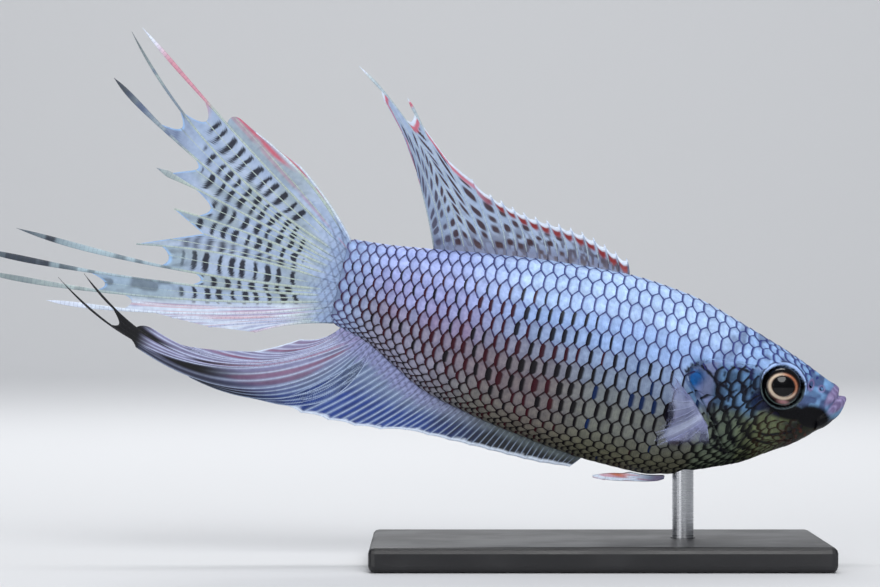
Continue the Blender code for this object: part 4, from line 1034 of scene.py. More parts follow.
def makeFin(name, rays, settings, paintFin, material, nodes):
    points, faces, tones, covers, alongs, onRays = [], [], [], [], [], []
    start, across = 0, settings["across"]
    reach = webReach(rays, settings.get("deep", 0.0))

    def keep(grid, tone, cover, along, onRay):
        nonlocal start
        points.append(grid.reshape(-1, 3))
        tones.append(tone.reshape(-1, 3))
        for store, values in ((covers, cover), (alongs, along), (onRays, onRay)):
            store.append(np.broadcast_to(values, grid.shape[:2]).ravel())
        start += grid.shape[0] * grid.shape[1]

    def addSheet(grid, thick, normal, *values):  # a web's two sides, closed round its edge
        rows, columns = grid.shape[:2]
        size, shift, rim = rows * columns, normal * (thick / 2)[..., None], rimOf(rows, columns)
        faces.extend(gridFaces(rows, columns, start))
        faces.extend([face[::-1] for face in gridFaces(rows, columns, start + size)])
        for a, b in zip(rim, rim[1:] + rim[:1]):
            faces.append((start + b, start + a, start + size + a, start + size + b))
        keep(grid + shift, *values)
        keep(grid - shift, *values)

    def addTube(line, wide, deep, i, q, along, toTip):
        ahead = np.gradient(line, axis=0)
        side = unit(np.cross(ahead, (0.0, 1.0, 0.0)), tiny)
        flat, turns = unit(np.cross(side, ahead)), roundTurns(finBuild["raySides"])
        wide, deep = (np.maximum(finBuild["narrowest"], half)[:, None] for half in (wide, deep))
        grid = line[:, None] + side[:, None] * (np.cos(turns) * wide)[..., None]
        grid = grid + flat[:, None] * (np.sin(turns) * deep)[..., None]
        blank = 0 * turns[None, :] + 0 * along[:, None]
        tone, cover = paintFin(grid, i, q + blank, along[:, None] + blank, toTip[:, None] + blank, 1.0 + blank)
        rows, columns = grid.shape[:2]
        faces.extend(gridFaces(rows, columns, start, closed=True))
        faces.append(tuple(start + k for k in range(columns)))
        faces.append(tuple(start + (rows - 1) * columns + k for k in range(columns - 1, -1, -1)))
        keep(grid, tone, cover, along[:, None], 1.0)

    def waved(grid):
        if "sway" in settings:
            grid = grid.copy()
            grid[..., 1] += settings["sway"](grid[..., 0], grid[..., 2])
        return grid

    for i, (low, middle, high) in enumerate(reach):
        one, other = rays[i]["path"], rays[i + 1]["path"]
        q = np.linspace(0, 1, across)
        ends = low * (1 - q) * (1 - 2 * q) + middle * 4 * q * (1 - q) + high * q * (2 * q - 1)
        length = np.linalg.norm(one(1.0) - one(0.0))
        v = np.linspace(0, 1, max(finBuild["leastRows"], int(length * max(low, high) / settings["step"])))
        t = np.clip(v[:, None] * ends[None, :], 0, 1)
        grid = waved(one(t) * (1 - q)[None, :, None] + other(t) * q[None, :, None])
        normal = unit(np.cross(np.gradient(grid, axis=0), np.gradient(grid, axis=1)), tiny)
        fade = np.clip(1 - v * length * max(low, high) / settings["rootFade"], 0, 1)[:, None] ** 2
        edgeThin = 1 - 0.6 * smoothStep(0.85, 1.0, v)[:, None]
        thick = settings["web"] * edgeThin + (settings["root"] - settings["web"]) * fade + 0 * q[None, :]
        tone, cover = paintFin(grid, i, q[None, :] + 0 * t, t * length, (ends[None, :] - t) * length, 0.0 * t)
        addSheet(grid, np.maximum(thick, finBuild["thinnest"]), normal, tone, cover, t * length, 0.0)
        branches = settings.get("branches", 0)
        for k in range(branches):  # finer branch rays inside each web
            column = round((k + 1) / (branches + 1) * (across - 1))
            wide = settings["rayHalf"] * 0.6 * (1 - 0.4 * v)
            deep = settings["rayThick"] * 0.42 * (1 - 0.5 * v) * (0.3 + 0.7 * smoothStep(0.12, 0.3, v))
            branch = t[:, column] * length, (ends[column] - t[:, column]) * length
            addTube(grid[:, column], wide, deep, i, q[column], *branch)
    for i, ray in enumerate(rays):
        path = ray["path"]
        length = np.linalg.norm(path(1.0) - path(0.0))
        web = max(([reach[i][0]] if i < len(reach) else []) + ([reach[i - 1][2]] if i else []))
        isFree = web < 0.97  # the ray runs on beyond its webs as a filament
        t = np.linspace(0, 1, max(finBuild["leastSteps"], int(length / settings["step"])))
        free = smoothStep(web * 0.8, 1.0, t) if isFree else 0 * t
        tail = np.clip((t - web) / max(0.001, 1 - web), 0, 1) if isFree else 0 * t
        wide = settings["rayHalf"] * (1 - 0.35 * t)
        wide = (wide + (ray["freeHalf"] * 0.95 - wide) * free) * (1 - tail ** ray["taper"])
        deep = settings["rayThick"] / 2 * (1 - 0.55 * t) * (1 - 0.7 * tail**2)
        deep = deep if isFree else deep * (1 - 0.5 * smoothStep(0.9, 1.0, t))
        addTube(waved(path(t)), wide, deep, i, 0.0, t * length, (1 - t) * length)
    layers = {"cover": np.concatenate(covers), "along": np.concatenate(alongs), "onRay": np.concatenate(onRays)}
    tones = np.clip(np.concatenate(tones), 0, 1)
    piece = makeMesh(name, toWorld(np.concatenate(points)), faces, tones, layers)
    turnOutward(piece)
    piece.data.materials.append(material)
    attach(piece, "root")
    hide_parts(*nodes)
    print(name, len(faces), "faces")


def finRay(root, via, tip, freeHalf=0.2, taper=1, webEnd=None):
    return {"path": pathThrough(root, via, tip), "freeHalf": freeHalf, "taper": taper, "webEnd": webEnd}


def flatRay(root, via, tip, *rest):
    return finRay((root[0], 0, root[1]), (via[0], 0, via[1]), (tip[0], 0, tip[1]), *rest)


finColours = {
    "web": shade(152, 172, 204), "dusk": shade(84, 92, 128), "white": shade(214, 226, 244), "red": shade(128, 26, 32),
    "maroon": shade(48, 14, 26), "pink": shade(196, 92, 112), "lilac": shade(156, 160, 212),
    "cream": shade(176, 190, 176), "bar": shade(8, 10, 32), "ink": shade(5, 6, 12), "deepBlue": shade(24, 54, 128),
    "paleRose": shade(188, 200, 232), "streak": shade(138, 62, 84), "grey": shade(92, 108, 142),
    "bluePale": shade(146, 182, 226), "orange": shade(220, 112, 36), "rose": shade(138, 130, 166),
    "olive": shade(138, 152, 146),
}


def smallScales(s, h, long, tall):  # the lines of a net of small scales that runs on over a fin's root
    near = [np.abs((s / long + sign * h / tall + 0.5) % 1.0 - 0.5) * 2 for sign in (1, -1)]
    return smoothStep(0.3, 0.1, np.minimum(*near))


def softNet(s, h, long, tall):  # the same net, a little bent
    return smallScales(s, h + 0.3 * softNoise(s, h, 1.5, 3), long, tall)


dorsal = {
    "base": (33.7, 61.3), "spines": 13, "notch": 0.75, "spots": 11,
    "margin": ((34.7, 12.9), (42.1, 15.2), (49.9, 15.9), (55.5, 17.4)),
    "soft": (  # each soft ray's middle, its tip, and how far its web runs
        ((55.4, 14.0), (58.4, 18.9), 0.4), ((58.0, 15.0), (62.9, 21.2), (67.4, 24.0)),
        ((61.2, 17.2), (69.8, 28.0), (68.1, 24.9)), ((65.2, 20.8), (77.5, 30.9), (73.4, 27.6)),
        ((64.6, 18.8), (73.0, 27.0), None), ((63.8, 16.1), (69.4, 23.0), None), ((63.4, 12.7), (66.1, 17.9), None),
    ),
    "across": 13, "step": 0.2, "web": 0.16, "rayHalf": 0.11, "rayThick": 0.36, "root": 0.7, "rootFade": 2.2,
}


def middleOf(root, tip, back, up):  # a point half way, moved a little so that the ray bends
    return (root[0] + tip[0]) / 2 + back, (root[1] + tip[1]) / 2 + up


def makeDorsalFin(material):
    spines, soft, edge = dorsal["spines"], dorsal["soft"], dorsal["margin"]
    margin = smoothCurve(edge, 1)
    rays = []
    for i, s in enumerate(np.linspace(*dorsal["base"], spines + len(soft))):
        root = (s, float(back(s)) - 0.25)
        if i < spines:
            tipS = edge[0][0] + (edge[-1][0] - edge[0][0]) * i / (spines - 1)
            tip = (tipS, float(margin(tipS)))
            bend = 0.04 * math.hypot(tip[0] - root[0], tip[1] - root[1])
            rays.append(flatRay(root, middleOf(root, tip, -bend, bend), tip, 0.16, 1, dorsal["notch"]))
        else:
            via, tip, webEnd = soft[i - spines]
            rays.append(flatRay(root, via, tip, 0.28, 2, webEnd))

    def sway(s, h):
        return 0.45 * np.sin((s - dorsal["base"][0]) / 7.0) * (h - back(np.minimum(s, dorsal["base"][1]))) / 12.0

    def paintFin(grid, i, q, fromRoot, toTip, onRay):
        s = grid[..., 0]
        rear, front, trailing = smoothStep(44, 56, s), smoothStep(60, 54, s), smoothStep(16.2, 18.0, i + q)
        cells = softNoise(fromRoot * 1.0 + i * 3.1, q * 2.4 + i, 0.62, 4)
        net = smoothStep(0.42, 0.66, cells) * smoothStep(7.0, 1.5, fromRoot) * (1 - 0.5 * rear)
        spots = 0 * s
        for k in range(dorsal["spots"]):  # a row of dark spots in each web
            centre = 1.9 + 1.75 * k + 0.9 * ((i % 2) - 0.5) + 0.3 * math.sin(i * 2.1 + k * 1.7)
            size = 0.4 + 0.22 * rear + 0.08 * math.sin(i * 5.7 + k * 3.1)
            spot = np.exp(-np.abs((fromRoot - centre) / size) ** 3)
            spots = np.maximum(spots, spot * (0.8 + 0.2 * math.sin(i * 3.7 + k * 5.1)))
        spots = spots * np.exp(-np.abs((q - 0.5) / 0.34) ** 3) * (1 - onRay) * smoothStep(0.9, 1.8, toTip)
        spots = spots * (0.45 + 0.55 * smoothStep(38, 50, s))
        ragged = toTip + 0.35 * (softNoise(q * 2 + i, fromRoot, 0.5, 5) - 0.5)
        redBand = smoothStep(1.75, 1.2, ragged) * smoothStep(0.35, 0.7, ragged)
        redWeb = redBand * front * smoothStep(0.02, 0.3, q) * smoothStep(1.0, 0.75, q) * (1 - onRay)
        whiteEdge = smoothStep(0.8, 0.42, toTip) * (1 - trailing)
        colour = laid(
            finColours, spread(finColours["web"], s),
            ("white", 0.25 * softNoise(fromRoot, q * 2 + i, 1.3, 2)),
            ("dusk", smoothStep(3.4, 0.6, fromRoot) * 0.8),
            ("maroon", net * 0.75 * (1 - onRay), 0.9),
            ("maroon", smoothStep(0.25, 0.6, spots) * 0.95),
            ("red", redWeb),
            ("pink", redBand * (1 - front) * 0.9),
            ("grey", trailing * 0.35),
            ("white", np.maximum(whiteEdge, smoothStep(74, 77, s))),
            ("cream", onRay * 0.45 * smoothStep(1.0, 2.0, toTip)),
        )
        return colour, 1.0 - 0.12 * (1 - onRay) * smoothStep(1.0, 4.0, fromRoot)

    makeFin("dorsalFin", rays, {**dorsal, "sway": sway}, paintFin, material, ["dorsal_fin"])


anal = {
    "base": (34.6, 71.6), "front": 15, "fan": 66.0,
    "margin": ((36.0, -17.6), (41.2, -18.0), (50.4, -17.8), (59.4, -17.7), (65.1, -18.7), (72.0, -18.8), (78.7, -18.2)),
    "rear": (  # each rear ray's middle, its tip, and how far its web runs
        ((70.5, -15.3), (83.5, -17.7), None), ((74.3, -15.6), (91.0, -17.2), None),
        ((79.0, -15.9), (99.3, -14.7), (100.2, -13.9)), ((92.0, -15.15), (112.0, -7.6), (102.4, -12.3)),
        ((93.5, -14.0), (108.6, -6.3), (99.6, -12.4)), ((86.0, -13.55), (95.8, -12.75), None),
        ((80.0, -12.3), (91.3, -13.0), None), ((76.5, -10.1), (83.0, -11.7), None), ((74.0, -7.8), (77.0, -8.6), None),
    ),
    "swing": 1.8, "across": 19, "step": 0.28, "web": 0.16, "rayHalf": 0.1, "rayThick": 0.32, "root": 0.7,
    "rootFade": 2.0, "branches": 2, "deep": 0.03,
}


def makeAnalFin(material):
    few, base, edge = anal["front"], anal["base"], anal["margin"]
    margin = smoothCurve(edge, 1)
    rays = []
    rearRoots = np.linspace(anal["fan"], base[1], len(anal["rear"]) + 1)[1:]
    for i, s in enumerate(np.concatenate([np.linspace(base[0], anal["fan"], few), rearRoots])):
        root = (s, float(belly(s)) + 0.25)
        if i < few:
            share = i / (few - 1)
            tipS = edge[0][0] + (edge[-1][0] - edge[0][0]) * (0.62 * share + 0.38 * share * share)
            tip = (tipS, float(margin(tipS)))
            long = math.hypot(tip[0] - root[0], tip[1] - root[1])
            rays.append(flatRay(root, middleOf(root, tip, 0.02 * long, -0.05 * long), tip, 0.2, 1, None))
        else:
            via, tip, webEnd = anal["rear"][i - few]
            rays.append(flatRay(root, via, tip, 0.24, 2, webEnd))

    def sway(s, h):
        ripple = 0.3 * np.sin((s - base[0]) / 5.0) * (belly(s) - h) / 6.0
        return ripple * smoothStep(77, 69, s) - anal["swing"] * (np.maximum(0.0, s - 74.0) / 34.0) ** 1.3

    def paintFin(grid, i, q, fromRoot, toTip, onRay):
        s, h, which = grid[..., 0], grid[..., 2], i + q
        far = fromRoot / np.maximum(fromRoot + toTip, 0.1)
        strip = np.abs(q * 3 % 1.0 - 0.5) * 2  # 0 in the middle of each strip between a ray and its branch
        between = (1 - onRay) * smoothStep(0.95, 0.45, strip)
        grain = softNoise(fromRoot * 0.3, which * 5.3, 0.9, 7)
        front, rear = smoothStep(62, 46, s), smoothStep(16.0, 18.5, which)
        darkest = front * (0.7 + 0.3 * smoothStep(0.1, 0.5, far)) + 0.25 * smoothStep(0.6, 0.8, grain)
        web = laid(
            finColours, spread(finColours["grey"], s),
            ("deepBlue", smoothStep(0.25, 0.6, far) * (1 - rear)), ("rose", rear * 0.7), ("ink", darkest),
        )
        streak = rear * smoothStep(23.5, 21.5, which) * smoothStep(92, 84, s)
        streak = streak * smoothStep(0.5, 0.7, softNoise(fromRoot * 0.1, which * 4.0, 1.0, 5))
        line = smoothStep(0.42, 0.62, softNoise(fromRoot * 0.06, which * 3.0, 1.0, 15))
        tipward = smoothStep(80, 90, s) * smoothStep(14.5, 16.0, which) * line * smoothStep(20.5, 19.0, which)
        tipward = np.maximum(tipward, smoothStep(96.5, 99.5, s))
        lower = smoothStep(72, 84, s) * smoothStep(18.6, 16.8, which) * smoothStep(0.3, 0.7, far)
        lower = lower * (0.45 + 0.55 * between)
        rootward = smoothStep(2.0, 0.0, fromRoot + 0.9 * grain - 0.2 - 1.4 * smoothStep(46, 62, s))
        rootTone = blendTo(spread(finColours["olive"], s) * 0.7, finColours["lilac"] * 0.8, smoothStep(44, 62, s))
        colour = laid(
            finColours, spread(finColours["web"], s),
            ("paleRose", rear),
            ("white", 0.3 * grain),
            (web, np.clip(0.16 + 1.1 * between * (0.6 + 0.4 * grain) + 0.3 * front, 0, 0.98)),
            ("streak", streak * (0.08 + 0.6 * between)),
            ("ink", np.maximum(tipward, lower * 0.95)),
            (rootTone, rootward * 0.7),
            ("dusk", softNet(s, h, 1.0, 1.4) * rootward * 0.6, 0.3),
            ("white", smoothStep(0.65, 0.35, toTip + 0.3 * (grain - 0.5)) * smoothStep(90, 80, s) * 0.95),
        )
        return colour, 1.0 + 0 * s

    makeFin("analFin", rays, {**anal, "sway": sway}, paintFin, material, ["anal_fin"])


tail = {
    "roots": (6.4, -5.2), "stemEnd": 73.4, "bars": 15,
    "rays": (  # each ray's middle, its tip, a filament's half width and taper, and how far its web runs
        ((77.3, 11.0), (82.7, 15.4), 0.20, 1, None), ((81.0, 13.5), (90.6, 18.9), 0.20, 1, (91.4, 18.6)),
        ((88.6, 15.1), (108.4, 29.3), 0.42, 4, (96.6, 18.6)), ((99.4, 18.2), (109.7, 28.4), 0.26, 4, (100.0, 16.8)),
        ((92.0, 10.5), (110.7, 21.5), 0.55, 4, (96.2, 11.3)), ((90.0, 7.3), (102.1, 10.5), 0.55, 1, (93.6, 5.9)),
        ((86.7, 4.3), (98.4, 5.4), 0.50, 1, None), ((84.5, 2.2), (93.6, 2.9), 0.20, 1, None),
        ((88.0, 0.9), (102.5, -0.6), 0.55, 1, (96.4, -1.4)), ((100.0, -2.9), (119.5, -2.2), 0.62, 4, (92.5, -3.4)),
        ((95.0, -4.7), (125.0, -6.3), 0.62, 4, (105.6, -7.4)), ((95.0, -6.8), (124.4, -9.3), 0.58, 4, (101.0, -8.8)),
        ((93.7, -8.6), (113.2, -11.2), 0.48, 4, (96.2, -9.4)), ((84.0, -7.0), (95.3, -9.6), 0.20, 1, None),
        ((80.5, -6.7), (90.0, -9.7), 0.20, 1, None), ((77.8, -6.4), (83.5, -9.0), 0.20, 1, None),
    ),
    "across": 15, "step": 0.22, "web": 0.16, "rayHalf": 0.2, "rayThick": 0.42, "root": 1.9, "rootFade": 4.5,
    "branches": 1,
}


def makeTailFin(material):
    rays = []
    for k, (via, tip, freeHalf, taper, webEnd) in enumerate(tail["rays"]):
        rootH = tail["roots"][0] + (tail["roots"][1] - tail["roots"][0]) * k / (len(tail["rays"]) - 1)
        rays.append(flatRay((tail["stemEnd"] - 0.4, rootH), via, tip, freeHalf, taper, webEnd))

    def sway(s, h):
        share = (s - tail["stemEnd"]) / 40.0
        return -0.05 * h * share**2 + 0.3 * np.sin(0.45 * h) * share

    def paintFin(grid, i, q, fromRoot, toTip, onRay):
        s, h, which, inWeb = grid[..., 0], grid[..., 2], i + q, 1 - onRay
        outward, rise = np.hypot(s - 72.2, h - 1.2), np.arctan2(h - 1.2, np.maximum(s - 72.2, 0.01))
        lowLobe = smoothStep(10.9, 11.6, which)
        bars = 0 * s
        for k in range(tail["bars"]):  # rows of short dark bars across the webs
            centre = 6.4 + 1.74 * k + 0.3 * math.sin(i * 2.3) + 0.15 * math.sin(i * 1.3 + k * 2.0)
            edge = outward + 0.35 * (np.abs(q - 0.5) * 2) ** 2 * math.sin(i * 3.3 + k)
            size = 0.36 + 0.1 * math.sin(i * 4.1 + k * 2.3)
            bars = np.maximum(bars, np.exp(-np.abs((edge - centre) / size) ** 3))
        inner, outer = 6.2 + 3.5 * smoothStep(0.3, 0.8, rise), 24.0 + 6.5 * smoothStep(0.2, 0.8, rise)
        bars = bars * np.exp(-np.abs((q - 0.5) / 0.43) ** 5)
        bars = bars * smoothStep(0, 1.6, outward - inner) * smoothStep(1.5, -2.0, outward - outer)
        bars = bars * (1 - lowLobe) * smoothStep(0.15, 0.9, toTip) * (0.3 + 0.7 * smoothStep(1.9, 2.2, which))
        redLine = hill(which, 1.3, 0.14) * smoothStep(11, 13, fromRoot) + 0.4 * hill(which, 1.6, 0.06)
        redLine = redLine + hill(which, 0.3, 0.16) * smoothStep(5, 8, fromRoot)
        broken = smoothStep(2.05, 1.95, which) * smoothStep(0.25, 0.5, softNoise(s * 0.45, h * 0.2, 1.0, 5))
        topEdge = smoothStep(1.12, 1.04, which) * smoothStep(12, 14, fromRoot)
        topEdge = np.maximum(topEdge, smoothStep(0.14, 0.03, which))
        rootward = smoothStep(6.5, 1.5, fromRoot + 1.5 * softNoise(s, h, 1.2, 14))
        pinkStreak = smoothStep(0.5, 0.72, softNoise(fromRoot * 0.08, which * 11.0, 1.0, 6))
        lilacStreak = smoothStep(0.5, 0.7, softNoise(fromRoot * 0.08, which * 11.0 + 7, 1.0, 9))
        lobe = laid(
            finColours, spread(finColours["white"], s), ("pink", pinkStreak * 0.5), ("lilac", lilacStreak * 0.6, 0.8),
        )
        free = smoothStep(93, 98, s) * smoothStep(7.6, 8.6, which) * smoothStep(11.5, 10.5, which)
        freeTone = blendTo(spread(finColours["bluePale"], s) * 0.8, finColours["cream"], 0.4)
        flecks = smoothStep(0.45, 0.7, softNoise(fromRoot, which * 3, 1.3, 4))
        tipBlue = smoothStep(97, 101, s) * smoothStep(2.6, 3.2, which) * smoothStep(5.6, 4.6, which)
        first = smoothStep(96, 98, s) * smoothStep(2.6, 2.2, which) * smoothStep(1.4, 1.8, which)
        margin = smoothStep(0.5, 0.2, toTip) * inWeb * smoothStep(2.2, 2.8, which) * (1 - lowLobe)
        colour = laid(
            finColours, spread(finColours["web"], s),
            ("white", 0.35 * softNoise(fromRoot * 0.5, q * 3 + i * 2.0, 0.9, 3)),
            ("olive", smoothStep(0.5, 0.75, softNoise(fromRoot * 0.25, which * 1.3, 1.0, 8)) * 0.45),
            ("dusk", smoothStep(4.0, 0.2, fromRoot) * 0.5),
            ("cream", onRay * 0.8),
            (palette["root"], rootward * 0.6),
            ("dusk", softNet(s, h, 1.15, 1.9) * rootward * 0.6, 0.6),
            ("bar", smoothStep(0.22, 0.5, bars) * inWeb * 0.96),
            ("pink", redLine * broken),
            ("white", topEdge * 0.7),
            (lobe, lowLobe * smoothStep(2, 9, fromRoot) * 0.92),
            (freeTone, free * 0.7),  # the long filaments
            ("bar", free * np.clip(0.5 * flecks + 0.75 * smoothStep(108, 119, s), 0, 0.9)),
            ("grey", tipBlue * (0.55 + 0.35 * flecks)),
            ("bar", tipBlue * smoothStep(104, 110, s) * 0.8),
            ("pink", first),
            ("white", first * (0.25 + 0.7 * smoothStep(103, 107, s))),
            ("white", smoothStep(95, 100, s) * smoothStep(11.6, 12.0, which) * 0.85),
            ("bluePale", margin * 0.85, 1.1),
        )
        return colour, 1.0 - 0.1 * inWeb * smoothStep(2.0, 6.0, fromRoot)

    nodes = ["tail_fin_upper", "tail_fin_lower"]
    makeFin("tailFin", rays, {**tail, "sway": sway}, paintFin, material, nodes)


pectoral = {
    "base": ((22.3, -4.0), (18.7, -7.7)), "rays": 11,
    "tips": (  # s, h and how far out
        (26.0, -1.2, 8.0), (25.6, -5.0, 11.0), (25.2, -7.8, 11.5), (26.2, -9.8, 10.5), (25.6, -11.6, 8.5),
        (18.2, -10.0, 5.0),
    ),
    "across": 9, "step": 0.3, "web": 0.1, "rayHalf": 0.1, "rayThick": 0.26, "root": 0.6, "rootFade": 1.6, "deep": 0.03,
}


def makePectoralFin(side, label, material):
    tips = [(k / (len(pectoral["tips"]) - 1), *row) for k, row in enumerate(pectoral["tips"])]
    columns = [smoothCurve(tips, k) for k in (1, 2, 3)]
    (topS, topH), (lowS, lowH) = pectoral["base"]
    rays = []
    for i in range(pectoral["rays"]):
        share = i / (pectoral["rays"] - 1)
        s, h = topS + (lowS - topS) * share, topH + (lowH - topH) * share
        root = onFlank(s, h, side, 0.1)
        tipS, tipH, out = (float(column(share)) for column in columns)
        tip = np.array([tipS, root[1] + side * out, tipH])
        via = (root + tip) / 2 + flankNormal(s, h, side) * 0.1 * out
        rays.append(finRay(root, via, tip, 0.16, 1, None))

    def paintFin(grid, i, q, fromRoot, toTip, onRay):
        which = i + q
        bright = np.maximum(hill(which, 6.6, 0.9), 0.6 * hill(which, 2.4, 0.8))
        foot = smoothStep(4.5, 0.5, fromRoot)
        thin = smoothStep(7.8, 9.4, which) * (1 - foot)
        frayed = smoothStep(0.1, 2.2, toTip - 1.6 * softNoise(which * 1.4, fromRoot * 0.6, 0.8, 9))
        cover = 0.38 + 0.14 * onRay + 0.25 * foot + 0.4 * bright
        colour = laid(
            finColours, spread(finColours["lilac"], grid[..., 0]),
            ("white", 0.1 + 0.15 * onRay + 0.2 * softNoise(fromRoot * 0.4, which, 1.0, 3)), ("white", bright * 0.45),
        )
        return colour, np.clip(cover * (0.1 + 0.9 * frayed) * (1 - 0.7 * thin), 0, 1)

    nodes = ["pectoral_fin_" + label.lower()]
    makeFin("pectoralFin" + label, rays, pectoral, paintFin, material, nodes)


pelvic = {
    "sections": (  # s, upper edge and lower edge, the upper one on the belly where none is given
        (22.6, None, -16.3), (23.3, None, -16.7), (24.2, None, -17.0), (25.2, None, -17.25), (26.2, None, -17.45),
        (27.2, None, -17.65), (28.4, -16.85, -17.9), (29.6, -17.1, -18.1), (30.8, -17.45, -18.25),
        (31.8, -17.8, -18.32), (32.5, -18.05, -18.35),
    ),
    "apart": 0.95, "rays": 5, "half": 0.3, "valley": 0.12, "stations": 120, "columns": 41,
}


def makePelvicFin(side, label, material):  # folded along the belly, its rays side by side
    first, last = pelvic["sections"][0][0], pelvic["sections"][-1][0]
    power = bodyShape["bellyPower"]

    def underBelly(s):
        deep = (1 - (pelvic["apart"] / float(half(s))) ** power) ** (1 / power)
        return float(belt(s)) - float(belt(s) - belly(s)) * deep - 0.3

    edges = [(s, underBelly(s) if upper is None else upper, lower) for s, upper, lower in pelvic["sections"]]
    high, low = smoothCurve(edges, 1), smoothCurve(edges, 2)
    stations, share = np.linspace(first, last, pelvic["stations"]), np.linspace(0, 1, pelvic["columns"])
    along = (stations - first) / (last - first)
    waves = 0.5 + 0.5 * np.sin(share * pelvic["rays"] * 2 * math.pi - 1.2)
    fray = 1 - 0.16 * waves[None, :] * smoothStep(0.75, 1.0, along)[:, None]
    s = first + (stations - first)[:, None] * fray
    h = high(stations)[:, None] + (low(stations) - high(stations))[:, None] * share
    ridge = pelvic["half"] - pelvic["valley"] * (1 - np.abs(np.sin(share * pelvic["rays"] * math.pi)))
    thick = ridge[None, :] * (1 - 0.55 * along)[:, None] * (1 - 0.5 * (2 * share - 1) ** 6)[None, :]
    near = np.stack([s, side * pelvic["apart"] + thick, h], -1)
    far = np.stack([s, side * pelvic["apart"] - thick, h], -1)[:, ::-1]
    points, faces = closedLoft(np.concatenate([near, far], axis=1))
    s, h = points[:, 0], points[:, 2]
    line = softNoise(s * 0.5, (h - s * -0.12) * 4, 0.9, 2)
    colour = laid(
        finColours, spread(finColours["white"], s),
        ("pink", smoothStep(0.35, 0.75, line) * 0.6),
        ("grey", smoothStep(27, 24, s) * 0.75),
        ("orange", hill(s, 29.2, 1.2) * smoothStep(-17.5, -17.2, h) * 0.8, 0.8),
    )
    layers = {"cover": np.ones(len(s)), "along": s - first, "onRay": np.full(len(s), 0.5)}
    piece = makeMesh("pelvicFin" + label, toWorld(points), faces, np.clip(colour, 0, 1), layers, flip=False)
    turnOutward(piece)
    piece.data.materials.append(material)
    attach(piece, "root")
    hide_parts("pelvic_fin_" + label.lower())


# The stand.
standFinish = {"base": shade(20, 20, 23), "dust": (0.03, 0.03, 0.034, 1), "rod": shade(186, 188, 192)}


def dressNode(name, material):
    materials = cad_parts[name].data.materials
    materials.clear()
    materials.append(material)


def dressStand():
    made, shader, kit = newMaterial("satinBlack")
    place = kit.place()
    grain, haze = kit.noise(place, 2600.0, 4.0)[0], kit.noise(place, 90.0, 3.0)[0]
    dusty = kit.mixed(kit.ramp(haze, 0.4, 0.75, 0.0, 0.25), (*standFinish["base"], 1), standFinish["dust"])
    kit.link(dusty, shader["Base Color"])
    kit.link(kit.ramp(haze, 0.3, 0.75, 0.32, 0.46), shader["Roughness"])
    kit.link(kit.bump(grain, 0.25, 0.00006), shader["Normal"])
    dressNode("stand_base", made)
    made, shader, kit = newMaterial("brushedRod")
    stretched = kit.add("Mapping", {"Vector": kit.place(), "Scale": (60.0, 60.0, 9000.0)}).outputs[0]
    lines = kit.noise(stretched, 1.0, 3.0)[0]
    kit.link(kit.mixed(lines, (*(standFinish["rod"] * 0.88), 1), (*standFinish["rod"], 1)), shader["Base Color"])
    kit.link(kit.ramp(lines, 0.3, 0.7, 0.2, 0.38), shader["Roughness"])
    kit.link(kit.bump(lines, 0.08, 0.00003), shader["Normal"])
    shader["Metallic"].default_value = 1.0
    dressNode("stand_rod", made)


# The studio: ground, lights and camera.
studio = {
    "floor": (0.66, 0.67, 0.69), "sky": (0.84, 0.88, 0.94), "skyPower": 0.24, "wallAt": 1.1, "bend": 0.5, "size": 4.0,
    "lamps": (  # name, where it stands, what it looks at, its size and its power
        ("key", (0.14, -0.62, 0.46), (-0.02, 0.0, 0.035), 0.42, 3.6),
        ("fill", (-0.5, -0.55, 0.16), (-0.03, 0.0, 0.03), 0.5, 1.7),
        ("rim", (-0.1, 0.45, 0.5), (-0.02, 0.0, 0.035), 0.4, 1.1),
        ("wash", (0.0, 0.3, 1.2), (0.0, 1.5, 0.25), 0.8, 13.0),
    ),
    "eyeAt": (-0.0222, -0.5, 0.038), "lens": 144.9,
}


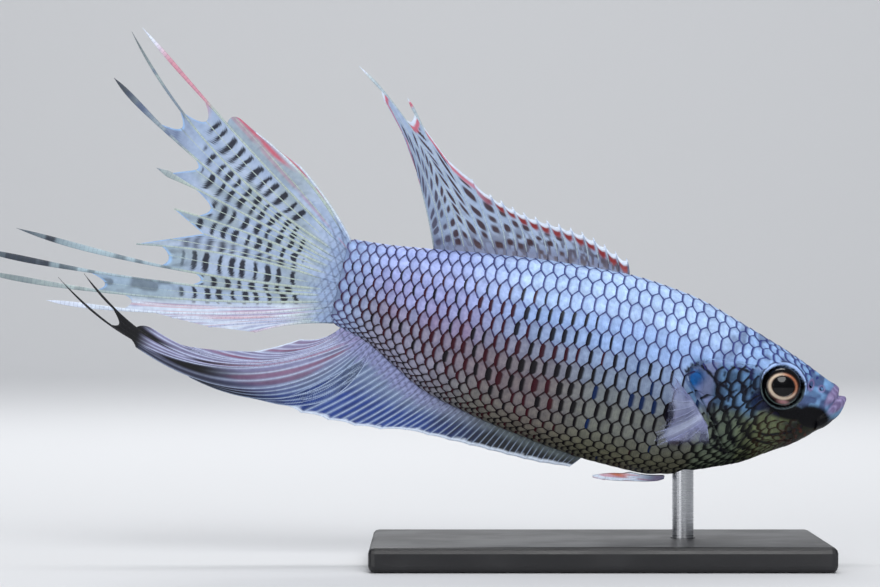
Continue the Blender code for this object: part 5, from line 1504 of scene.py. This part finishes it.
def makeStudio():
    bpy.context.scene.view_settings.view_transform = "Standard"  # colours stay as deep as the paint card gives them
    profile = [(-studio["size"], 0.0), (studio["wallAt"], 0.0)]  # a floor that bends up into the wall behind
    steps = 16
    for k in range(1, steps + 1):
        turn = math.pi / 2 * k / steps
        profile.append((studio["wallAt"] + studio["bend"] * math.sin(turn), studio["bend"] * (1 - math.cos(turn))))
    profile.append((profile[-1][0], studio["size"]))
    corners = [(x, y, z - 0.00005) for y, z in profile for x in (-studio["size"], studio["size"])]
    mesh = bpy.data.meshes.new("studioFloor")
    mesh.from_pydata(corners, [], [(2 * k, 2 * k + 1, 2 * k + 3, 2 * k + 2) for k in range(len(profile) - 1)])
    mesh.shade_smooth()
    floor = bpy.data.objects.new("studioFloor", mesh)
    bpy.context.scene.collection.objects.link(floor)
    made, shader = newMaterial("paleFloor")[:2]
    shader["Base Color"].default_value = (*studio["floor"], 1)
    shader["Roughness"].default_value = 0.7
    mesh.materials.append(made)
    world = bpy.data.worlds.new("softSky")
    world.use_nodes = True
    sky = world.node_tree.nodes["Background"]
    sky.inputs[0].default_value = (*studio["sky"], 1)
    sky.inputs[1].default_value = studio["skyPower"]
    bpy.context.scene.world = world
    for name, at, aim, size, power in studio["lamps"]:
        lamp = bpy.data.lights.new(name, "AREA")
        lamp.shape, lamp.size, lamp.energy = "DISK", size, power
        holder = bpy.data.objects.new(name, lamp)
        holder.location = at
        holder.rotation_euler = (Vector(aim) - Vector(at)).to_track_quat("-Z", "Y").to_euler()
        bpy.context.scene.collection.objects.link(holder)
    camera = bpy.data.objects.new("photoCamera", bpy.data.cameras.new("photoCamera"))
    camera.location = studio["eyeAt"]
    camera.rotation_euler = (math.pi / 2, 0, 0)
    camera.data.lens, camera.data.sensor_width = studio["lens"], 36.0
    camera.data.clip_start, camera.data.clip_end = 0.01, 20.0
    bpy.context.scene.collection.objects.link(camera)
    bpy.context.scene.camera = camera


makeStudio()
print("studio ready")
skin = makeSkin()
skin.data.materials.append(makeSkinMaterial())
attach(skin, "root")
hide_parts("head", "trunk", "tail_stem", "gill_cover_right", "gill_cover_left")
print("skin", len(skin.data.polygons), "faces")
scaleMaterial = makeScaleMaterial()
layScales("scalesRight", -1, scaleMaterial)
layScales("scalesLeft", 1, scaleMaterial)
eyeMaterial = makeEyeMaterial()
finMaterial, analMaterial, clearMaterial = (makeFinMaterial(name) for name in finFinish["joints"])
for side, label in ((-1, "Right"), (1, "Left")):
    makeEye(side, label, eyeMaterial)
    makePectoralFin(side, label, clearMaterial)
    makePelvicFin(side, label, analMaterial)
print("eyes and paired fins done")
makeDorsalFin(finMaterial)
makeAnalFin(analMaterial)
makeTailFin(finMaterial)
print("long fins done")
dressStand()
